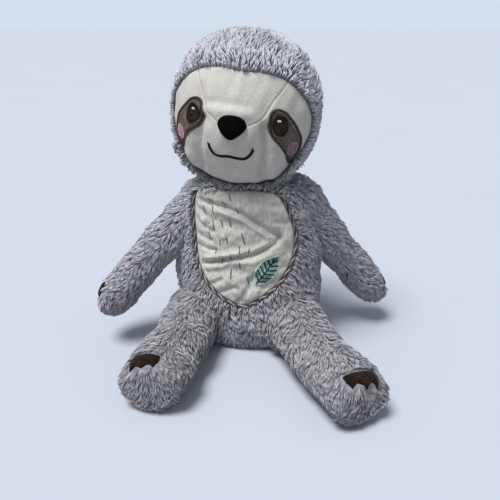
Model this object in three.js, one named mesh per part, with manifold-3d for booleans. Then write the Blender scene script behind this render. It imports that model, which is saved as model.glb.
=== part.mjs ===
// A seated plush sloth. Fur covers and velour panels are sewn round fibre
// filling, with a bean pouch in the seat, embroidery on the face and belly, and
// claws on the hands and feet. The head, arms and legs turn in soft round seams.
// Millimetres, +Z up. The face looks along -Y, and +X is the toy's left side.
// The origin lies on the floor, under the middle of the seat.
import * as THREE from "three";
import { mergeVertices } from "three/addons/utils/BufferGeometryUtils.js";
import Module from "manifold-3d";

const wasm = await Module();
wasm.setup();

// Cloth, thread and clearances
const pile = 4.5; // fur, as it stands on its backing
const backing = 2; // knitted backing, and the velour panels
const clearance = 0.35; // between pieces that touch
const flatDepth = 0.5; // how deep the seat and legs are pressed flat
const patchThickness = 0.7; // embroidered patch
const clawThickness = 1.4; // padded claws
const stitchThickness = 1; // line of stitches
const roomAround = 1.3; // room that the torso's cover leaves round an arm or a leg
const innerRoomAround = 5; // and the room that its filling leaves
const cutOverrun = 30; // how far a cutting form runs past what it cuts

// Torso, up to the flat neck seam that the head turns on
const torso = { halfWidth: 71, halfDepth: 52.5, height: 160, squareness: 2.45 };
const pouch = { height: 32 };
const panel = { halfWidth: 46, bottom: 48, belowNeck: 4 };
const piping = { radius: 1.4 };
const leaf = { length: 31, width: 16, across: 22, height: 84, tiltAngle: 38 };

// Head, measured from its own centre
const head = { halfWidth: 67.5, halfDepth: 60, halfHeight: 67.5, aboveNeck: 61, aside: -3, forward: 3 };
const headPose = { turnAngle: -1.5, tiltAngle: 7 };
const muzzle = { bulge: 9, halfWidth: 27, halfHeight: 25, drop: 13 };
const face = { halfWidth: 60.5, top: 36, bottom: 62 };
const forehead = { noseHalfWidth: 13, topHalfWidth: 37, noseDrop: 4, seam: 0.6 };
const nose = { halfWidth: 11.7, up: 2.4, down: 16.2, pad: 3.6, bevel: 1.8 };
const mouth = { halfWidth: 18.9, cornerDrop: 22.8, lowDrop: 32.6, width: 1.5 };
const eyePatch = { middle: 41, halfWidth: 14.5, up: 11, down: 38 };
const eyeOutline = { margin: 1.6, width: 0.9 };
const iris = { across: 36.3, drop: 2.7, halfWidth: 6, halfHeight: 8.5, tiltAngle: -14 };
const glint = { across: 34, up: 1, radius: 1.6 };
const blush = { across: 47.5, drop: 21.5, halfWidth: 3.9, halfHeight: 6.8, tiltAngle: 24 };

// Arms, measured from the shoulder ball to the tip of the paw
const arm = { ballRadius: 23, length: 144, halfWidth: 21.5 };
const shoulder = { across: 48, back: 0, belowNeck: 26 };
const armPose = {
  left: { spreadAngle: 37, swingAngle: -16, twistAngle: 98 },
  right: { spreadAngle: 41, swingAngle: 21, twistAngle: 88 },
};
const armAngles = { lowest: -4, middle: 38, highest: 75 }; // how far an arm is raised from its rest
const legAngles = { lowest: -12, highest: 28 };

// Legs, measured from the hip ball to the tip of the foot
const leg = { ballRadius: 30, length: 122, halfWidth: 28.5 };
const hip = { across: 48, forward: 44 };
const legPose = { left: { splayAngle: 31, back: 0 }, right: { splayAngle: 6, back: 10.5 } };

// Three claws on a band, on the back of each hand and foot
const handClaws = { halfWidth: 9, length: 13, fromTip: 25, outwards: 0 };
const footClaws = {
  left: { halfWidth: 13.4, length: 8.2, fromTip: 18.5, outwards: 1.5 },
  right: { halfWidth: 11.6, length: 10, fromTip: 20, outwards: 6.5 },
};

// Counts of the faces on the curved forms
const headFaces = { fine: { sides: 36, rings: 18 }, plain: { sides: 20, rings: 11 } };
const torsoFaces = { fine: { sides: 32, rings: 20 }, plain: { sides: 20, rings: 13 } };
const limbFaces = {
  fine: { sides: 18, rings: 12, domeRings: 5 },
  plain: { sides: 12, rings: 8, domeRings: 3 },
  rough: { sides: 8, rings: 6, domeRings: 2 },
};
const ballFaces = { sides: 14, rings: 10 };
const shaftSides = 12;
const outlinePoints = { face: 44, panel: 46, patch: 24, small: 14, line: 18 };
const pipingFaces = { sides: 6, steps: 52 };

// Outlines as shares of the sizes that they follow. The second number is a share
// of the size upwards where it is positive, and of the size downwards otherwise.
const faceShares = [
  [0, 0.985], [0.25, 1.01], [0.42, 0.98], [0.57, 0.91], [0.72, 0.76], [0.86, 0.53],
  [0.96, 0.25], [1, -0.03], [0.97, -0.26], [0.9, -0.43], [0.79, -0.62], [0.66, -0.79],
  [0.49, -0.92], [0.27, -0.985], [0, -1],
];
const eyePatchShares = [
  [-0.99, 0.27], [-0.92, 0.76], [-0.62, 1], [-0.17, 0.86], [0.28, 0.32], [0.69, -0.13],
  [0.94, -0.38], [0.93, -0.6], [0.7, -0.8], [0.36, -0.96], [0.2, -0.86], [0.1, -0.72],
  [-0.22, -0.53], [-0.68, -0.34], [-0.91, -0.14],
];
const noseShares = [
  [0, 1], [0.52, 0.62], [0.96, -0.12], [0.93, -0.42], [0.56, -0.8], [0.2, -0.98],
];
const mouthShares = [
  [1, 0], [0.9, 0.45], [0.7, 0.9], [0.42, 1], [0, 0.84],
];
const foreheadShares = [
  [1.06, 1.5], [1, 0.89], [0.64, 0.47], [0.37, 0.14],
];
const panelLeftShares = [
  [0, 0], [0.1, 0.006], [0.2, 0.03], [0.31, 0.065], [0.48, 0.125], [0.65, 0.19], [0.8, 0.27], [0.93, 0.38],
  [0.99, 0.49], [1, 0.6], [0.97, 0.69], [0.9, 0.77], [0.82, 0.86], [0.72, 0.936], [0.56, 1],
];
const panelRightShares = [
  [0, 0], [0.1, 0.004], [0.2, 0.016], [0.39, 0.058], [0.6, 0.13], [0.78, 0.22], [0.9, 0.315], [0.96, 0.4],
  [0.99, 0.49], [1, 0.59], [1.02, 0.68], [1.035, 0.77], [1.035, 0.86], [1.01, 0.94], [0.98, 1],
];
const clawShares = [
  [1, 0], [1.02, 0.42], [0.86, 1], [0.52, 0.62], [0.04, 1.1], [-0.5, 0.62], [-0.86, 1],
  [-1.02, 0.42], [-1, 0],
];

// Swelling of the forms: share of the height or length, of the half width and of
// the half depth, from the floor or the tip upwards.
const torsoShares = [
  [0, 0, 0], [0, 0.45, 0.5], [0.01, 0.76, 0.86], [0.065, 0.89, 0.96], [0.17, 0.965, 0.995],
  [0.34, 1, 1], [0.5, 0.99, 1], [0.65, 0.94, 0.97], [0.78, 0.87, 0.92], [0.88, 0.85, 0.87],
  [0.95, 0.8, 0.81], [0.985, 0.69, 0.7], [1, 0.5, 0.52], [1, 0.25, 0.25], [1, 0, 0],
];
const armShares = [
  [0, 0, 0], [0.006, 0.3, 0.27], [0.035, 0.65, 0.6], [0.09, 0.89, 0.84], [0.18, 0.98, 0.94],
  [0.3, 0.97, 0.94], [0.45, 0.93, 0.93], [0.65, 0.95, 0.95], [0.85, 1.0, 1.0],
];
const legShares = [
  [0, 0, 0], [0.005, 0.42, 0.36], [0.03, 0.8, 0.64], [0.09, 1.0, 0.8], [0.2, 1.05, 0.86],
  [0.35, 1.0, 0.86], [0.55, 0.95, 0.88], [0.8, 0.96, 0.95],
];
const sides = [
  [1, "left"],
  [-1, "right"],
];
const sharpestCornerShare = 0.4; // how far a corner of an outline may reach out
const leastFootShare = 0.84; // of the half width, past which the toes don't sink
const headRoundness = { top: 2.15, side: 2.35, chin: 3.1, back: 2.1 };
const domeStartAngle = 80; // degrees from the top of a limb's ball to where its shaft starts

const colours = {
  fur: 0xa69fa6,
  velour: 0xdedbd2,
  belly: 0xd4d4ca,
  filling: 0xf1f0ea,
  pouch: 0xcdc3b0,
  nose: 0x140f0f,
  stitch: 0x1b1a1f,
  patch: 0x73685a,
  iris: 0x2e1c19,
  glint: 0xf6f6f2,
  blush: 0xc79fab,
  claws: 0x35231e,
  piping: 0x6d544e,
  leaf: 0x8ecabd,
};

// Solids

function solidOf(geometry) {
  const bare = new THREE.BufferGeometry();
  bare.setAttribute("position", geometry.getAttribute("position"));
  if (geometry.index) bare.setIndex(geometry.index);
  const merged = mergeVertices(bare, 1e-3);
  return new wasm.Manifold(
    new wasm.Mesh({
      numProp: 3,
      vertProperties: new Float32Array(merged.getAttribute("position").array),
      triVerts: new Uint32Array(merged.index.array),
    }),
  );
}

function geometryOf(solid) {
  const mesh = solid.getMesh();
  const geometry = new THREE.BufferGeometry();
  const positions = new Float32Array(mesh.vertProperties);
  geometry.setAttribute("position", new THREE.BufferAttribute(positions, 3));
  geometry.setIndex(new THREE.BufferAttribute(new Uint32Array(mesh.triVerts), 1));
  geometry.computeVertexNormals();
  return geometry;
}

function moved(solid, matrix) {
  return solidOf(geometryOf(solid).applyMatrix4(matrix));
}

function block(low, high) {
  const size = high.clone().sub(low);
  const middle = low.clone().add(high).divideScalar(2);
  const geometry = new THREE.BoxGeometry(size.x, size.y, size.z);
  return solidOf(geometry.translate(middle.x, middle.y, middle.z));
}

// A ball whose flat faces all stay outside its radius, for cutting a socket
function socket(radius) {
  const sideShare = Math.cos(Math.PI / ballFaces.sides);
  const ringShare = Math.cos(Math.PI / ballFaces.rings / 2);
  const ball = new THREE.SphereGeometry(
    radius / (sideShare * ringShare),
    ballFaces.sides,
    ballFaces.rings,
  );
  return solidOf(ball.rotateX(Math.PI / 2));
}

// Skins

// Joins rings of equal count, from the lowest pole to the highest, into a closed skin
function skinOf(rings, sides, lowPole, highPole) {
  const positions = [...lowPole];
  for (const ring of rings) {
    for (let i = 0; i < sides; i++) {
      positions.push(...ring((2 * Math.PI * i) / sides));
    }
  }
  positions.push(...highPole);
  const at = (ring, i) => 1 + ring * sides + (i % sides);
  const last = rings.length - 1;
  const high = positions.length / 3 - 1;
  const index = [];
  for (let i = 0; i < sides; i++) {
    index.push(0, at(0, i + 1), at(0, i));
    for (let ring = 0; ring < last; ring++) {
      index.push(at(ring, i), at(ring, i + 1), at(ring + 1, i + 1));
      index.push(at(ring, i), at(ring + 1, i + 1), at(ring + 1, i));
    }
    index.push(high, at(last, i), at(last, i + 1));
  }
  const geometry = new THREE.BufferGeometry();
  geometry.setAttribute("position", new THREE.Float32BufferAttribute(positions, 3));
  geometry.setIndex(index);
  return geometry;
}

// The same skin, further out or, with a negative distance, further in
function offsetSkin(skin, distance) {
  const geometry = skin.clone();
  geometry.computeVertexNormals();
  const position = geometry.getAttribute("position");
  const normal = geometry.getAttribute("normal");
  for (let i = 0; i < position.count; i++) {
    position.setXYZ(
      i,
      position.getX(i) + distance * normal.getX(i),
      position.getY(i) + distance * normal.getY(i),
      position.getZ(i) + distance * normal.getZ(i),
    );
  }
  geometry.deleteAttribute("normal");
  return geometry;
}

// Stations of a form that swells: half width, half depth and height at each one
function stationsOf(shares, size, count, rim = []) {
  const points = shares.map(
    ([up, wide, deep]) =>
      new THREE.Vector3(
        wide * size.halfWidth,
        deep * size.halfDepth,
        size.low + up * (size.high - size.low),
      ),
  );
  const curve = new THREE.CatmullRomCurve3([...points, ...rim], false, "centripetal");
  return curve.getSpacedPoints(count).slice(1, -1);
}

// A station's outline is an ellipse, or squarer than one
function ringOf(station, squareness = 2) {
  const share = (value) => Math.sign(value) * Math.abs(value) ** (2 / squareness);
  return (angle) => [
    station.x * share(Math.cos(angle)),
    station.y * share(Math.sin(angle)),
    station.z,
  ];
}

// Every layer of a stuffed form, from the tips of its fur to its filling
function layersOf(makeSkin, faces) {
  const fine = makeSkin(faces.fine);
  const plain = makeSkin(faces.plain);
  const rough = faces.rough && makeSkin(faces.rough);
  const overCloth = (height) => solidOf(offsetSkin(fine, height - pile));
  return {
    coat: solidOf(fine),
    room: solidOf(offsetSkin(plain, roomAround)),
    innerRoom: rough && solidOf(offsetSkin(rough, innerRoomAround)),
    cloth: overCloth(0),
    overCloth,
    lining: solidOf(offsetSkin(plain, -pile - backing)),
    filling: solidOf(offsetSkin(plain, -pile - backing - clearance)),
  };
}

// Outlines, drawn across X and up Z as seen from the front

function sharePoint([across, up], size) {
  return [across * size.halfWidth, up > 0 ? up * size.up : up * size.down];
}

function mirrored(points) {
  const back = points
    .slice()
    .reverse()
    .filter(([x]) => x > 0)
    .map(([x, z]) => [-x, z]);
  return [...points, ...back];
}

function curvedOutline(points, count, closed = true) {
  const curve = new THREE.CatmullRomCurve3(
    points.map(([x, z]) => new THREE.Vector3(x, z, 0)),
    closed,
    "centripetal",
  );
  const spaced = curve.getSpacedPoints(count).map((p) => new THREE.Vector2(p.x, p.y));
  return closed ? spaced.slice(0, -1) : spaced;
}

function oval(x, z, halfWidth, halfHeight, tilt, count) {
  const turn = (-tilt * Math.PI) / 180;
  const outline = [];
  for (let i = 0; i < count; i++) {
    const angle = (2 * Math.PI * i) / count;
    const point = new THREE.Vector2(halfWidth * Math.cos(angle), halfHeight * Math.sin(angle));
    outline.push(point.rotateAround(new THREE.Vector2(), turn).add(new THREE.Vector2(x, z)));
  }
  return outline;
}

// Moves an outline outwards by a distance, or inwards by a negative one. Each
// corner stays a corner, and a very sharp one is held back.
function grown(outline, distance) {
  const turn = THREE.ShapeUtils.area(outline) > 0 ? 1 : -1;
  const count = outline.length;
  const outward = (from, to) => {
    const along = to.clone().sub(from).normalize();
    return new THREE.Vector2(turn * along.y, -turn * along.x);
  };
  return outline.map((p, i) => {
    const first = outward(outline[(i + count - 1) % count], p);
    const second = outward(p, outline[(i + 1) % count]);
    const corner = first.clone().add(second).normalize();
    const stretch = 1 / Math.max(corner.dot(first), sharpestCornerShare);
    return p.clone().addScaledVector(corner, distance * stretch);
  });
}

// A band of even width along an open line
function band(line, width) {
  const edge = (side) =>
    line.map((p, i) => {
      const before = line[Math.max(i - 1, 0)];
      const after = line[Math.min(i + 1, line.length - 1)];
      const along = after.clone().sub(before).normalize();
      return new THREE.Vector2(p.x - side * along.y * width, p.y + side * along.x * width);
    });
  return [...edge(1 / 2), ...edge(-1 / 2).reverse()];
}

// A prism on an outline, from well in front of a form to a depth along Y
function prism(outline, reach, depth = 0) {
  const front = -reach - cutOverrun;
  const geometry = new THREE.ExtrudeGeometry(new THREE.Shape(outline), {
    depth: depth - front,
    bevelEnabled: false,
  });
  return solidOf(geometry.rotateX(Math.PI / 2).translate(0, depth, 0));
}

// A flat patch on the cloth, from one height over it to another
function patchOn(layers, outline, reach, low, high) {
  return layers.overCloth(high).subtract(layers.overCloth(low)).intersect(prism(outline, reach));
}

// Torso

const torsoSize = {
  halfWidth: torso.halfWidth,
  halfDepth: torso.halfDepth,
  low: -flatDepth,
  high: torso.height,
};
const torsoLayers = layersOf((faces) => {
  const stations = stationsOf(torsoShares, torsoSize, faces.rings);
  const rings = stations.map((station) => ringOf(station, torso.squareness));
  return skinOf(rings, faces.sides, [0, 0, torsoSize.low], [0, 0, torsoSize.high]);
}, torsoFaces);
const torsoReach = torso.halfDepth;

// The front of the torso's cloth at a place on the belly
function bellyAt(x, z) {
  const stations = stationsOf(torsoShares, torsoSize, torsoFaces.fine.rings);
  const above = Math.max(stations.findIndex((s) => s.z > z), 1);
  const [low, high] = [stations[above - 1], stations[above]];
  const at = low.clone().lerp(high, (z - low.z) / (high.z - low.z));
  const share = Math.min(Math.abs(x) / (at.x - pile), 1);
  return -(at.y - pile) * (1 - share ** torso.squareness) ** (1 / torso.squareness);
}

// The belly panel's edge, from its bottom to its top on one side
function panelSide(shares, side, count) {
  const points = shares.map(([across, up]) => [
    side * across * panel.halfWidth,
    panel.bottom + up * (torso.height - panel.belowNeck - panel.bottom),
  ]);
  return curvedOutline(points, count, false);
}

function panelOutline(distance) {
  const left = panelSide(panelLeftShares, 1, outlinePoints.panel / 2);
  const right = panelSide(panelRightShares, -1, outlinePoints.panel / 2).slice(1);
  return grown([...left, ...right.reverse()], distance);
}

function pipingSolid() {
  const left = panelSide(panelLeftShares, 1, outlinePoints.panel).slice(0, -1);
  const right = panelSide(panelRightShares, -1, outlinePoints.panel).slice(1, -1);
  const route = [...right.reverse(), ...left].map(
    (p) => new THREE.Vector3(p.x, bellyAt(p.x, p.y) - clearance, p.y),
  );
  const section = [];
  for (let i = 0; i < pipingFaces.sides; i++) {
    const angle = (2 * Math.PI * i) / pipingFaces.sides;
    section.push(
      new THREE.Vector2(piping.radius * Math.cos(angle), piping.radius * Math.sin(angle)),
    );
  }
  const geometry = new THREE.ExtrudeGeometry(new THREE.Shape(section), {
    steps: pipingFaces.steps,
    bevelEnabled: false,
    extrudePath: new THREE.CatmullRomCurve3(route, false, "centripetal"),
  });
  return solidOf(geometry);
}

function leafOutline() {
  const half = leaf.length / 2;
  const turn = (-leaf.tiltAngle * Math.PI) / 180;
  const side = [];
  const count = outlinePoints.small;
  for (let i = 0; i <= count; i++) {
    const along = -half + (leaf.length * i) / count;
    side.push([(leaf.width / 2) * (1 - (along / half) ** 2), along]);
  }
  const other = side.slice(1, -1).map(([x, z]) => [-x, z]);
  return [...side, ...other.reverse()].map(([x, z]) =>
    new THREE.Vector2(x, z)
      .rotateAround(new THREE.Vector2(), turn)
      .add(new THREE.Vector2(leaf.across, leaf.height)),
  );
}

// Limbs

function limbMatrix(pivot, turns) {
  const matrix = new THREE.Matrix4().makeTranslation(pivot);
  for (const [axis, degrees] of turns) {
    const turn = new THREE.Matrix4().makeRotationAxis(axis, (degrees * Math.PI) / 180);
    matrix.multiply(turn);
  }
  return matrix;
}

const acrossAxis = new THREE.Vector3(1, 0, 0);
const depthAxis = new THREE.Vector3(0, 1, 0);
const upAxis = new THREE.Vector3(0, 0, 1);

function armMatrix(side, pose, raised = 0) {
  const height = torso.height - shoulder.belowNeck;
  const pivot = new THREE.Vector3(side * shoulder.across, shoulder.back, height);
  return limbMatrix(pivot, [
    [depthAxis, -side * (pose.spreadAngle + raised)],
    [acrossAxis, -pose.swingAngle],
    [upAxis, side * pose.twistAngle],
  ]);
}

const hipHeight = leg.ballRadius - flatDepth;

function legMatrix(side, pose, raised = 0) {
  const pivot = new THREE.Vector3(side * hip.across, pose.back - hip.forward, hipHeight);
  return limbMatrix(pivot, [
    [acrossAxis, -raised],
    [upAxis, side * pose.splayAngle],
    [acrossAxis, -90],
  ]);
}

// A limb swells and tapers from its tip, and closes in a round ball at its root
function limbLayers(limb, shares, place = (point) => point) {
  const start = (domeStartAngle * Math.PI) / 180;
  const onBall = (angle) => {
    const radius = limb.ballRadius * Math.sin(angle);
    return new THREE.Vector3(radius, radius, limb.ballRadius * Math.cos(angle));
  };
  const rim = onBall(start);
  const size = {
    halfWidth: limb.halfWidth,
    halfDepth: limb.halfWidth,
    low: -limb.length,
    high: rim.z,
  };
  return layersOf((faces) => {
    const stations = stationsOf(shares, size, faces.rings, [rim]);
    for (let i = 0; i < faces.domeRings; i++) {
      stations.push(onBall(start * (1 - i / faces.domeRings)));
    }
    const rings = stations.map((station) => {
      const ring = ringOf(station);
      return (angle) => place(ring(angle), station);
    });
    return skinOf(rings, faces.sides, place([0, 0, size.low]), [0, 0, limb.ballRadius]);
  }, limbFaces);
}

// The underside of a leg lies along the floor, level with its hip ball
function restOnFloor([x, y, z], station) {
  const half = Math.max(station ? station.y : 0, leg.halfWidth * leastFootShare);
  const drop = leg.ballRadius - half;
  const share = THREE.MathUtils.smoothstep(-z, 0, leg.ballRadius);
  return [x, y + drop * share, z];
}

const armLayers = limbLayers(arm, armShares);
const legLayers = limbLayers(leg, legShares, restOnFloor);

function clawOutline(claws, limb, side) {
  const points = clawShares.map(([across, along]) => [
    side * claws.outwards + across * claws.halfWidth,
    claws.fromTip - limb.length - along * claws.length,
  ]);
  return points.map(([x, z]) => new THREE.Vector2(x, z));
}

// A limb's cover has a round opening at its root, and a low place for its claws
function limbPieces(layers, limb, claws, side, floorCut) {
  const outline = clawOutline(claws, limb, side);
  const claw = patchOn(layers, outline, limb.halfWidth, clearance, clearance + clawThickness);
  const bed = prism(grown(outline, clearance), limb.halfWidth).subtract(layers.cloth);
  const holeRadius = (limb.ballRadius - pile) / 2;
  const hole = new THREE.CylinderGeometry(holeRadius, holeRadius, limb.ballRadius + cutOverrun);
  hole.rotateX(Math.PI / 2).translate(0, 0, (limb.ballRadius + cutOverrun) / 2);
  const cover = layers.coat.subtract(layers.lining).subtract(bed).subtract(solidOf(hole));
  return { cover: floorCut ? cover.subtract(floorCut) : cover, filling: layers.filling, claw };
}

function legFloor() {
  const reach = leg.length + leg.ballRadius + cutOverrun;
  return block(
    new THREE.Vector3(-reach, hipHeight, -reach),
    new THREE.Vector3(reach, hipHeight + cutOverrun, reach),
  );
}

const armPieces = {
  left: limbPieces(armLayers, arm, handClaws, 1),
  right: limbPieces(armLayers, arm, handClaws, -1),
};
const legPieces = {
  left: limbPieces(legLayers, leg, footClaws.left, 1, legFloor()),
  right: limbPieces(legLayers, leg, footClaws.right, -1, legFloor()),
};

// Each limb near its rest, and at the limits that need more room
const limbsInPlace = [];
const limbsMoved = [];
for (const [side, name] of sides) {
  limbsInPlace.push([armLayers, arm, armMatrix(side, armPose[name], armAngles.lowest)]);
  limbsInPlace.push([legLayers, leg, legMatrix(side, legPose[name])]);
  limbsMoved.push([arm, armMatrix(side, armPose[name], armAngles.middle)]);
  limbsMoved.push([arm, armMatrix(side, armPose[name], armAngles.highest)]);
  limbsMoved.push([leg, legMatrix(side, legPose[name], legAngles.lowest)]);
  limbsMoved.push([leg, legMatrix(side, legPose[name], legAngles.highest)]);
}

// A round room from the middle of a limb's root outwards
function shaftRoom(limb) {
  const radius = (limb.ballRadius + clearance) / Math.cos(Math.PI / shaftSides);
  const geometry = new THREE.CylinderGeometry(radius, radius, limb.length, shaftSides);
  return solidOf(geometry.rotateX(Math.PI / 2).translate(0, 0, -limb.length / 2));
}

// The torso makes room for the arms and legs, whose round roots turn in it
function withoutRooms(solid) {
  let left = solid;
  for (const [layers, limb, matrix] of limbsInPlace) {
    const room = layers.room.add(socket(limb.ballRadius + clearance));
    left = left.subtract(moved(room, matrix));
  }
  for (const [limb, matrix] of limbsMoved) {
    left = left.subtract(moved(shaftRoom(limb), matrix));
  }
  return left;
}

function withoutInnerRooms(solid) {
  let left = solid;
  for (const [layers, , matrix] of limbsInPlace) {
    left = left.subtract(moved(layers.innerRoom, matrix));
  }
  for (const [limb, matrix] of limbsMoved) {
    left = left.subtract(moved(shaftRoom(limb), matrix));
  }
  return left;
}

function torsoPieces() {
  const reach = torso.halfWidth + cutOverrun;
  const below = block(
    new THREE.Vector3(-reach, -reach, -cutOverrun),
    new THREE.Vector3(reach, reach, 0),
  );
  const edge = piping.radius + clearance;
  const window = prism(panelOutline(edge), torsoReach);
  const shell = torsoLayers.coat.subtract(torsoLayers.lining);
  const cover = withoutRooms(shell.subtract(window).subtract(below));
  const seatTop = block(
    new THREE.Vector3(-reach, -reach, pouch.height),
    new THREE.Vector3(reach, reach, torso.height + cutOverrun),
  );
  const seatBottom = block(
    new THREE.Vector3(-reach, -reach, -cutOverrun),
    new THREE.Vector3(reach, reach, pouch.height - clearance),
  );
  const filling = withoutInnerRooms(torsoLayers.filling);
  const velour = torsoLayers.cloth.subtract(torsoLayers.lining);
  const bellyPanel = withoutRooms(
    velour.intersect(prism(panelOutline(-edge), torsoReach)),
  );
  return {
    body_cover: [cover, colours.fur],
    body_stuffing: [filling.intersect(seatTop), colours.filling],
    seat_bean_pouch: [filling.intersect(seatBottom), colours.pouch],
    belly_panel: [bellyPanel, colours.belly],
    belly_piping: [pipingSolid(), colours.piping],
    leaf_patch: [
      patchOn(torsoLayers, leafOutline(), torsoReach, clearance, clearance + patchThickness),
      colours.leaf,
    ],
  };
}

// Head

// The share of its half size that a round form keeps at a share of its height
function roundShare(height, roundness) {
  return (1 - Math.abs(height) ** roundness) ** (1 / roundness);
}

// The muzzle stands out round the nose
function withMuzzle([x, y, z]) {
  if (y >= 0) return [x, y, z];
  const away = (x / muzzle.halfWidth) ** 2 + ((z + muzzle.drop) / muzzle.halfHeight) ** 2;
  const facing = Math.min(-y / head.halfDepth, 1);
  return [x, y - muzzle.bulge * facing * Math.exp(-away), z];
}

const headLayers = layersOf((faces) => {
  const rings = [];
  for (let i = 1; i < faces.rings; i++) {
    const height = -Math.cos((Math.PI * i) / faces.rings);
    const low = height < 0;
    const wide = head.halfWidth * roundShare(height, low ? headRoundness.side : headRoundness.top);
    const front = head.halfDepth * roundShare(height, low ? headRoundness.chin : headRoundness.top);
    const back = head.halfDepth * roundShare(height, headRoundness.back);
    rings.push((angle) => {
      const deep = Math.sin(angle) < 0 ? front : back;
      return withMuzzle([
        wide * Math.cos(angle),
        deep * Math.sin(angle),
        height * head.halfHeight,
      ]);
    });
  }
  return skinOf(rings, faces.sides, [0, 0, -head.halfHeight], [0, 0, head.halfHeight]);
}, headFaces);
const headReach = head.halfDepth + muzzle.bulge;

function faceOutline(distance) {
  const size = { halfWidth: face.halfWidth, up: face.top, down: face.bottom };
  const points = mirrored(faceShares.map((share) => sharePoint(share, size)));
  return grown(curvedOutline(points, outlinePoints.face), distance);
}

function foreheadOutline(distance) {
  const tall = face.top + forehead.noseDrop;
  const wide = forehead.topHalfWidth - forehead.noseHalfWidth;
  const points = foreheadShares.map(([across, up]) => [
    forehead.noseHalfWidth + across * wide,
    up * tall - forehead.noseDrop,
  ]);
  const side = [...points, [forehead.noseHalfWidth, -forehead.noseDrop]];
  return grown(mirrored(side).map(([x, z]) => new THREE.Vector2(x, z)), distance);
}

// The seams of the forehead panel meet the face panel edge to edge
function facePanels() {
  const velour = headLayers.cloth
    .subtract(headLayers.lining)
    .intersect(prism(faceOutline(-clearance), headReach));
  const inside = prism(foreheadOutline(-forehead.seam / 2), headReach);
  const outside = prism(foreheadOutline(forehead.seam / 2), headReach);
  return [velour.intersect(inside), velour.subtract(outside)];
}

function nosePad() {
  const size = { halfWidth: nose.halfWidth, up: nose.up, down: nose.down };
  const points = mirrored(noseShares.map((share) => sharePoint(share, size)));
  const outline = curvedOutline(points, outlinePoints.patch);
  const low = patchOn(headLayers, outline, headReach, clearance, nose.pad - nose.bevel);
  const high = patchOn(
    headLayers,
    grown(outline, -nose.bevel / 2),
    headReach,
    clearance,
    nose.pad,
  );
  return low.add(high);
}

function mouthStitch() {
  const points = mouthShares.map(([across, down]) => [
    across * mouth.halfWidth,
    -mouth.cornerDrop - down * (mouth.lowDrop - mouth.cornerDrop),
  ]);
  const outline = band(curvedOutline(mirrored(points), outlinePoints.line, false), mouth.width);
  return patchOn(headLayers, outline, headReach, clearance, clearance + stitchThickness);
}

function eyeShapes(side) {
  const flip = (outline) => outline.map((p) => new THREE.Vector2(side * p.x, p.y));
  const size = { halfWidth: eyePatch.halfWidth, up: eyePatch.up, down: eyePatch.down };
  const points = eyePatchShares.map((share) => {
    const [x, z] = sharePoint(share, size);
    return [x + eyePatch.middle, z];
  });
  const edge = curvedOutline(points, outlinePoints.patch);
  const few = outlinePoints.small;
  return {
    patch: flip(edge),
    line: flip(grown(edge, -eyeOutline.margin)),
    within: flip(grown(edge, -eyeOutline.margin - eyeOutline.width)),
    inside: flip(grown(edge, -eyeOutline.margin - eyeOutline.width - clearance)),
    iris: flip(oval(iris.across, -iris.drop, iris.halfWidth, iris.halfHeight, iris.tiltAngle, few)),
    glint: oval(side * glint.across, glint.up, glint.radius, glint.radius, 0, few / 2),
    blush: flip(
      oval(blush.across, -blush.drop, blush.halfWidth, blush.halfHeight, blush.tiltAngle, few),
    ),
  };
}

function eyePieces(side, name) {
  const shapes = eyeShapes(side);
  const first = clearance;
  const second = first + patchThickness + clearance;
  const third = second + patchThickness + clearance;
  const on = (outline, low) =>
    patchOn(headLayers, outline, headReach, low, low + patchThickness);
  const ring = on(shapes.line, second).subtract(prism(shapes.within, headReach));
  const cheek = on(shapes.blush, second).intersect(prism(shapes.inside, headReach));
  return {
    [`eye_patch_${name}`]: [on(shapes.patch, first), colours.patch],
    [`eye_outline_${name}`]: [ring, colours.stitch],
    [`iris_${name}`]: [on(shapes.iris, second), colours.iris],
    [`eye_glint_${name}`]: [on(shapes.glint, third), colours.glint],
    [`blush_${name}`]: [cheek, colours.blush],
  };
}

const headCentre = new THREE.Vector3(head.aside, -head.forward, torso.height + head.aboveNeck);
const headMatrix = limbMatrix(headCentre, [
  [upAxis, headPose.turnAngle],
  [depthAxis, headPose.tiltAngle],
]);

// The head is cut level with the neck seam, whatever its tilt
function headPieces() {
  const reach = head.halfWidth + head.halfHeight + cutOverrun;
  const level = block(
    new THREE.Vector3(-reach, -reach, -cutOverrun),
    new THREE.Vector3(reach, reach, torso.height + clearance),
  );
  const below = moved(level, headMatrix.clone().invert());
  const [foreheadPanel, facePanel] = facePanels();
  const cover = headLayers.coat
    .subtract(headLayers.lining)
    .subtract(prism(faceOutline(0), headReach))
    .subtract(below);
  return {
    head_cover: [cover, colours.fur],
    head_stuffing: [headLayers.filling.subtract(below), colours.filling],
    forehead_panel: [foreheadPanel, colours.velour],
    face_panel: [facePanel.subtract(below), colours.velour],
    nose_pad: [nosePad(), colours.nose],
    mouth_stitch: [mouthStitch(), colours.stitch],
    ...eyePieces(1, "left"),
    ...eyePieces(-1, "right"),
  };
}

// The whole toy

function nodeOf(name, solid, colour) {
  const material = new THREE.MeshStandardMaterial({ color: colour, roughness: 0.9, metalness: 0 });
  const mesh = new THREE.Mesh(geometryOf(solid), material);
  mesh.name = name;
  return mesh;
}

function groupOf(pieces, matrix) {
  const group = new THREE.Group();
  for (const [name, [solid, colour]] of Object.entries(pieces)) {
    group.add(nodeOf(name, solid, colour));
  }
  matrix.decompose(group.position, group.quaternion, group.scale);
  return group;
}

function limbNodes(kind, claws, name, pieces) {
  return {
    [`${kind}_cover_${name}`]: [pieces.cover, colours.fur],
    [`${kind}_stuffing_${name}`]: [pieces.filling, colours.filling],
    [`${claws}_${name}`]: [pieces.claw, colours.claws],
  };
}

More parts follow.
